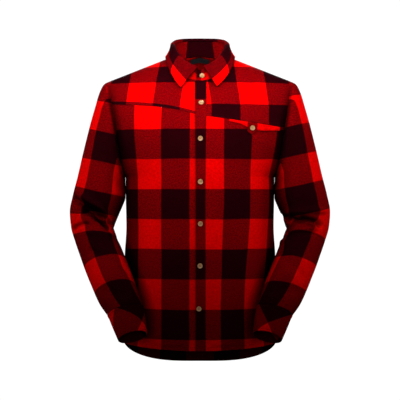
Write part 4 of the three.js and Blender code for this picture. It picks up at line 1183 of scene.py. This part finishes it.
# %% A row of stitches
def stitch_group():
    tree = bpy.data.node_groups.new("row of stitches", "GeometryNodeTree")
    face = tree.interface
    face.new_socket("Line", in_out="INPUT", socket_type="NodeSocketGeometry")
    for label, kind, value in (("Pitch", "NodeSocketFloat", 2.9 * MM),
                               ("Thread radius", "NodeSocketFloat", 0.22 * MM), ("Seed", "NodeSocketInt", 7)):
        face.new_socket(label, in_out="INPUT", socket_type=kind).default_value = value
    face.new_socket("Thread", in_out="INPUT", socket_type="NodeSocketMaterial")
    face.new_socket("Stitches", in_out="OUTPUT", socket_type="NodeSocketGeometry")
    nodes = tree.nodes
    given = add(nodes, "NodeGroupInput").outputs
    line = add(nodes, "GeometryNodeMeshToCurve", {0: given["Line"]})
    spaced = add(nodes, "GeometryNodeResampleCurve", {"Curve": line.outputs[0], "Length": given["Pitch"]},
                 mode="LENGTH")
    bead = add(nodes, "GeometryNodeMeshUVSphere", {"Segments": 6, "Rings": 4, "Radius": 1.0})
    half = add(nodes, "ShaderNodeMath", {0: given["Pitch"], 1: 0.42}, operation="MULTIPLY")
    radius = given["Thread radius"]
    size = add(nodes, "ShaderNodeCombineXYZ", {0: half.outputs[0], 1: radius, 2: radius})
    long = add(nodes, "GeometryNodeTransform", {"Geometry": bead.outputs[0], "Scale": size.outputs[0]})
    tangent = add(nodes, "GeometryNodeInputTangent")
    turned = add(nodes, "FunctionNodeAlignRotationToVector", {"Vector": tangent.outputs[0]}, axis="X")
    varied = add(nodes, "FunctionNodeRandomValue", {2: 0.92, 3: 1.06, "Seed": given["Seed"]},
                 data_type="FLOAT")
    placed = add(nodes, "GeometryNodeInstanceOnPoints",
                 {"Points": spaced.outputs[0], "Instance": long.outputs[0], "Rotation": turned.outputs[0],
                  "Scale": varied.outputs[1]})
    real = add(nodes, "GeometryNodeRealizeInstances", {0: placed.outputs[0]})
    dressed = add(nodes, "GeometryNodeSetMaterial",
                  {"Geometry": real.outputs[0], "Material": given["Thread"]})
    add(nodes, "NodeGroupOutput", {0: dressed.outputs[0]})
    return tree


def seam_line(name, edge, inset, lift=0.1):
    """Points on a piece's outside, a set distance in from one edge."""
    p, n = OUTSIDE[name]
    if edge in ("first column", "last column"):
        p, n = p.transpose(1, 0, 2), n.transpose(1, 0, 2)
    if edge.startswith("last"):
        p, n = p[::-1], n[::-1]
    down, place = column_arc(p), p + n * lift
    return np.array([[np.interp(inset, down[:, j], place[:, j, k]) for k in range(3)]
                     for j in range(p.shape[1])])


def rows_along(piece, edges, inset, closed=False):
    """One line of stitches along each of a piece's edges, with whether it closes."""
    return [(seam_line(piece, edge, inset), closed) for edge in edges]


def stitched(name, lines):
    """One object with a row of stitches along every line."""
    verts, edges = [], []
    for points, closes in lines:
        first = len(verts)
        verts += [tuple(q * MM) for q in points]
        edges += [(k, k + 1) for k in range(first, len(verts) - 1)]
        edges += [(len(verts) - 1, first)] if closes else []
    source = shaped(name + " lines", verts, [], edges)
    rows = source.modifiers.new("stitches", "NODES")
    rows.node_group = group
    rows[group.interface.items_tree["Thread"].identifier] = thread
    mesh = baked(source)
    bpy.data.objects.remove(source)
    obj = in_scene(name, mesh)
    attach(obj, "root")
    print(f"{name}: {len(mesh.polygons)} faces")


# %% [markdown]
# ### Where the stitches run
# Distances are from a piece's edge, in millimetres. The yokes have two rows, as on the real seams.

# %% Rows of stitches on every piece
group = stitch_group()
EDGE, ENDS = ["first row"], ["first column", "last column"]
lines = []
for piece in ("left_front", "right_front", "back_panel"):
    lines += rows_along(piece, EDGE, 8)
for piece in ("left_yoke", "right_yoke", "yoke_of_back"):
    lines += rows_along(piece, EDGE, 1.6) + rows_along(piece, EDGE, 7.0)
lines += rows_along("front_band", ENDS, 3)
lines += rows_along("welt_of_pocket", EDGE, 1.6)
lines += rows_along("tab_of_pocket", EDGE + ENDS, 1.8)
stitched("stitches_of_body", lines)
lines = rows_along("leaf_of_collar", ["last row"] + ENDS, 5) + rows_along("stand_of_collar", EDGE, 3)
stitched("stitches_of_collar", lines)
for word in ("left", "right"):
    lines = rows_along(f"{word}_sleeve", EDGE, 5, closed=True)
    lines += rows_along(f"{word}_cuff", EDGE, 4, closed=True)
    lines += rows_along(f"{word}_cuff", ["last row"], 5, closed=True)
    lines += rows_along(f"{word}_sleeve_placket", ENDS, 2)
    stitched(f"stitches_of_{word}_sleeve", lines)

# %% [markdown]

# %% [markdown]
# ## Floor, light and camera
# The shirt floats against white, as in a shop's photograph. A large soft light stands in front
# and above, close enough that its light falls off from the chest to the hem.

# %% Lights
def area_light(name, place, aim, size, power, spread=180):
    """A rectangular lamp, in metres and watts, turned towards a point."""
    light = bpy.data.lights.new(name, "AREA")
    light.spread = math.radians(spread)
    light.shape, light.size, light.size_y = "RECTANGLE", size[0], size[1]
    light.energy = power
    obj = in_scene(name, light)
    obj.location = place
    obj.rotation_euler = (Vector(aim) - Vector(place)).to_track_quat("-Z", "Y").to_euler()
    print(f"{name}: {power} W")


area_light("key light", (0.0, -0.8, 0.3), (0, 0, -0.04), (0.5, 0.3), 2.4, spread=72)
for word, side in (("left", -1), ("right", 1)):
    area_light(f"{word} key light", (side * 0.8, -0.75, 0.35), (0, 0, 0.02), (0.4, 0.4), 1.0, spread=66)
area_light("fill light", (0.0, -3.0, -0.25), (0, 0, -0.45), (1.2, 0.8), 9)
for word, side in (("left", -1), ("right", 1)):
    area_light(f"{word} rim light", (side * 1.5, 0.15, 0.5), (side * 0.2, 0, -0.35), (0.3, 1.2), 12)
area_light("light behind", (0.0, 1.6, 1.0), (0, 0, -0.2), (1.0, 0.5), 14)

# %% [markdown]
# ### The white surroundings
# Floor and room are white where the camera looks and dim in the light they give the shirt.

# %% The floor
def glowing(name, seen, unseen):
    """White where the camera looks, and much dimmer in the light it gives the shirt."""
    mat, nodes = material(name)
    path = add(nodes, "ShaderNodeLightPath")
    near = add(nodes, "ShaderNodeEmission", {"Color": (1, 1, 1, 1), "Strength": seen})
    far = add(nodes, "ShaderNodeBsdfDiffuse", {"Color": (unseen, unseen, unseen, 1)})
    pick = add(nodes, "ShaderNodeMixShader", {0: path.outputs["Is Camera Ray"], 1: far.outputs[0],
                                              2: near.outputs[0]})
    add(nodes, "ShaderNodeOutputMaterial", {"Surface": pick.outputs[0]})
    return mat


FLOOR_Z, FLOOR_HALF = -1.2, 30.0
WHITE, DIM = 1.05, 0.006  # strength where the camera looks, and in the light given to the shirt
corners = [(x * FLOOR_HALF, y * FLOOR_HALF, FLOOR_Z) for x, y in ((-1, -1), (1, -1), (1, 1), (-1, 1))]
floor = shaped("floor", corners, [(0, 1, 2, 3)])
floor.data.materials.append(glowing("plain white floor, lit evenly", WHITE, 0.1))

# %% The white room
world = bpy.data.worlds.new("white room")
bpy.context.scene.world = world
world.use_nodes = True
tree = world.node_tree.nodes
tree.clear()
path = add(tree, "ShaderNodeLightPath")
dim = add(tree, "ShaderNodeBackground", {"Color": (1, 1, 1, 1), "Strength": DIM})
white = add(tree, "ShaderNodeBackground", {"Color": (1, 1, 1, 1), "Strength": WHITE})
pick = add(tree, "ShaderNodeMixShader", {0: path.outputs["Is Camera Ray"], 1: dim.outputs[0],
                                         2: white.outputs[0]})
add(tree, "ShaderNodeOutputWorld", {"Surface": pick.outputs[0]})

# %% The camera, level and far off
SHOWN, AWAY, EYE_Z, LENS = 1.04, 4.5, -0.359, 150.0  # metres shown across, its distance and height; mm
camera = bpy.data.cameras.new("camera")
camera.lens = LENS
camera.sensor_width = camera.lens * SHOWN / AWAY
view = in_scene("camera", camera)
view.location = (0.0, -AWAY, EYE_Z)
view.rotation_euler = (math.radians(90), 0, 0)
bpy.context.scene.camera = view
bpy.context.scene.view_settings.view_transform = "Standard"
print(f"camera {AWAY} m away, showing {SHOWN} m")
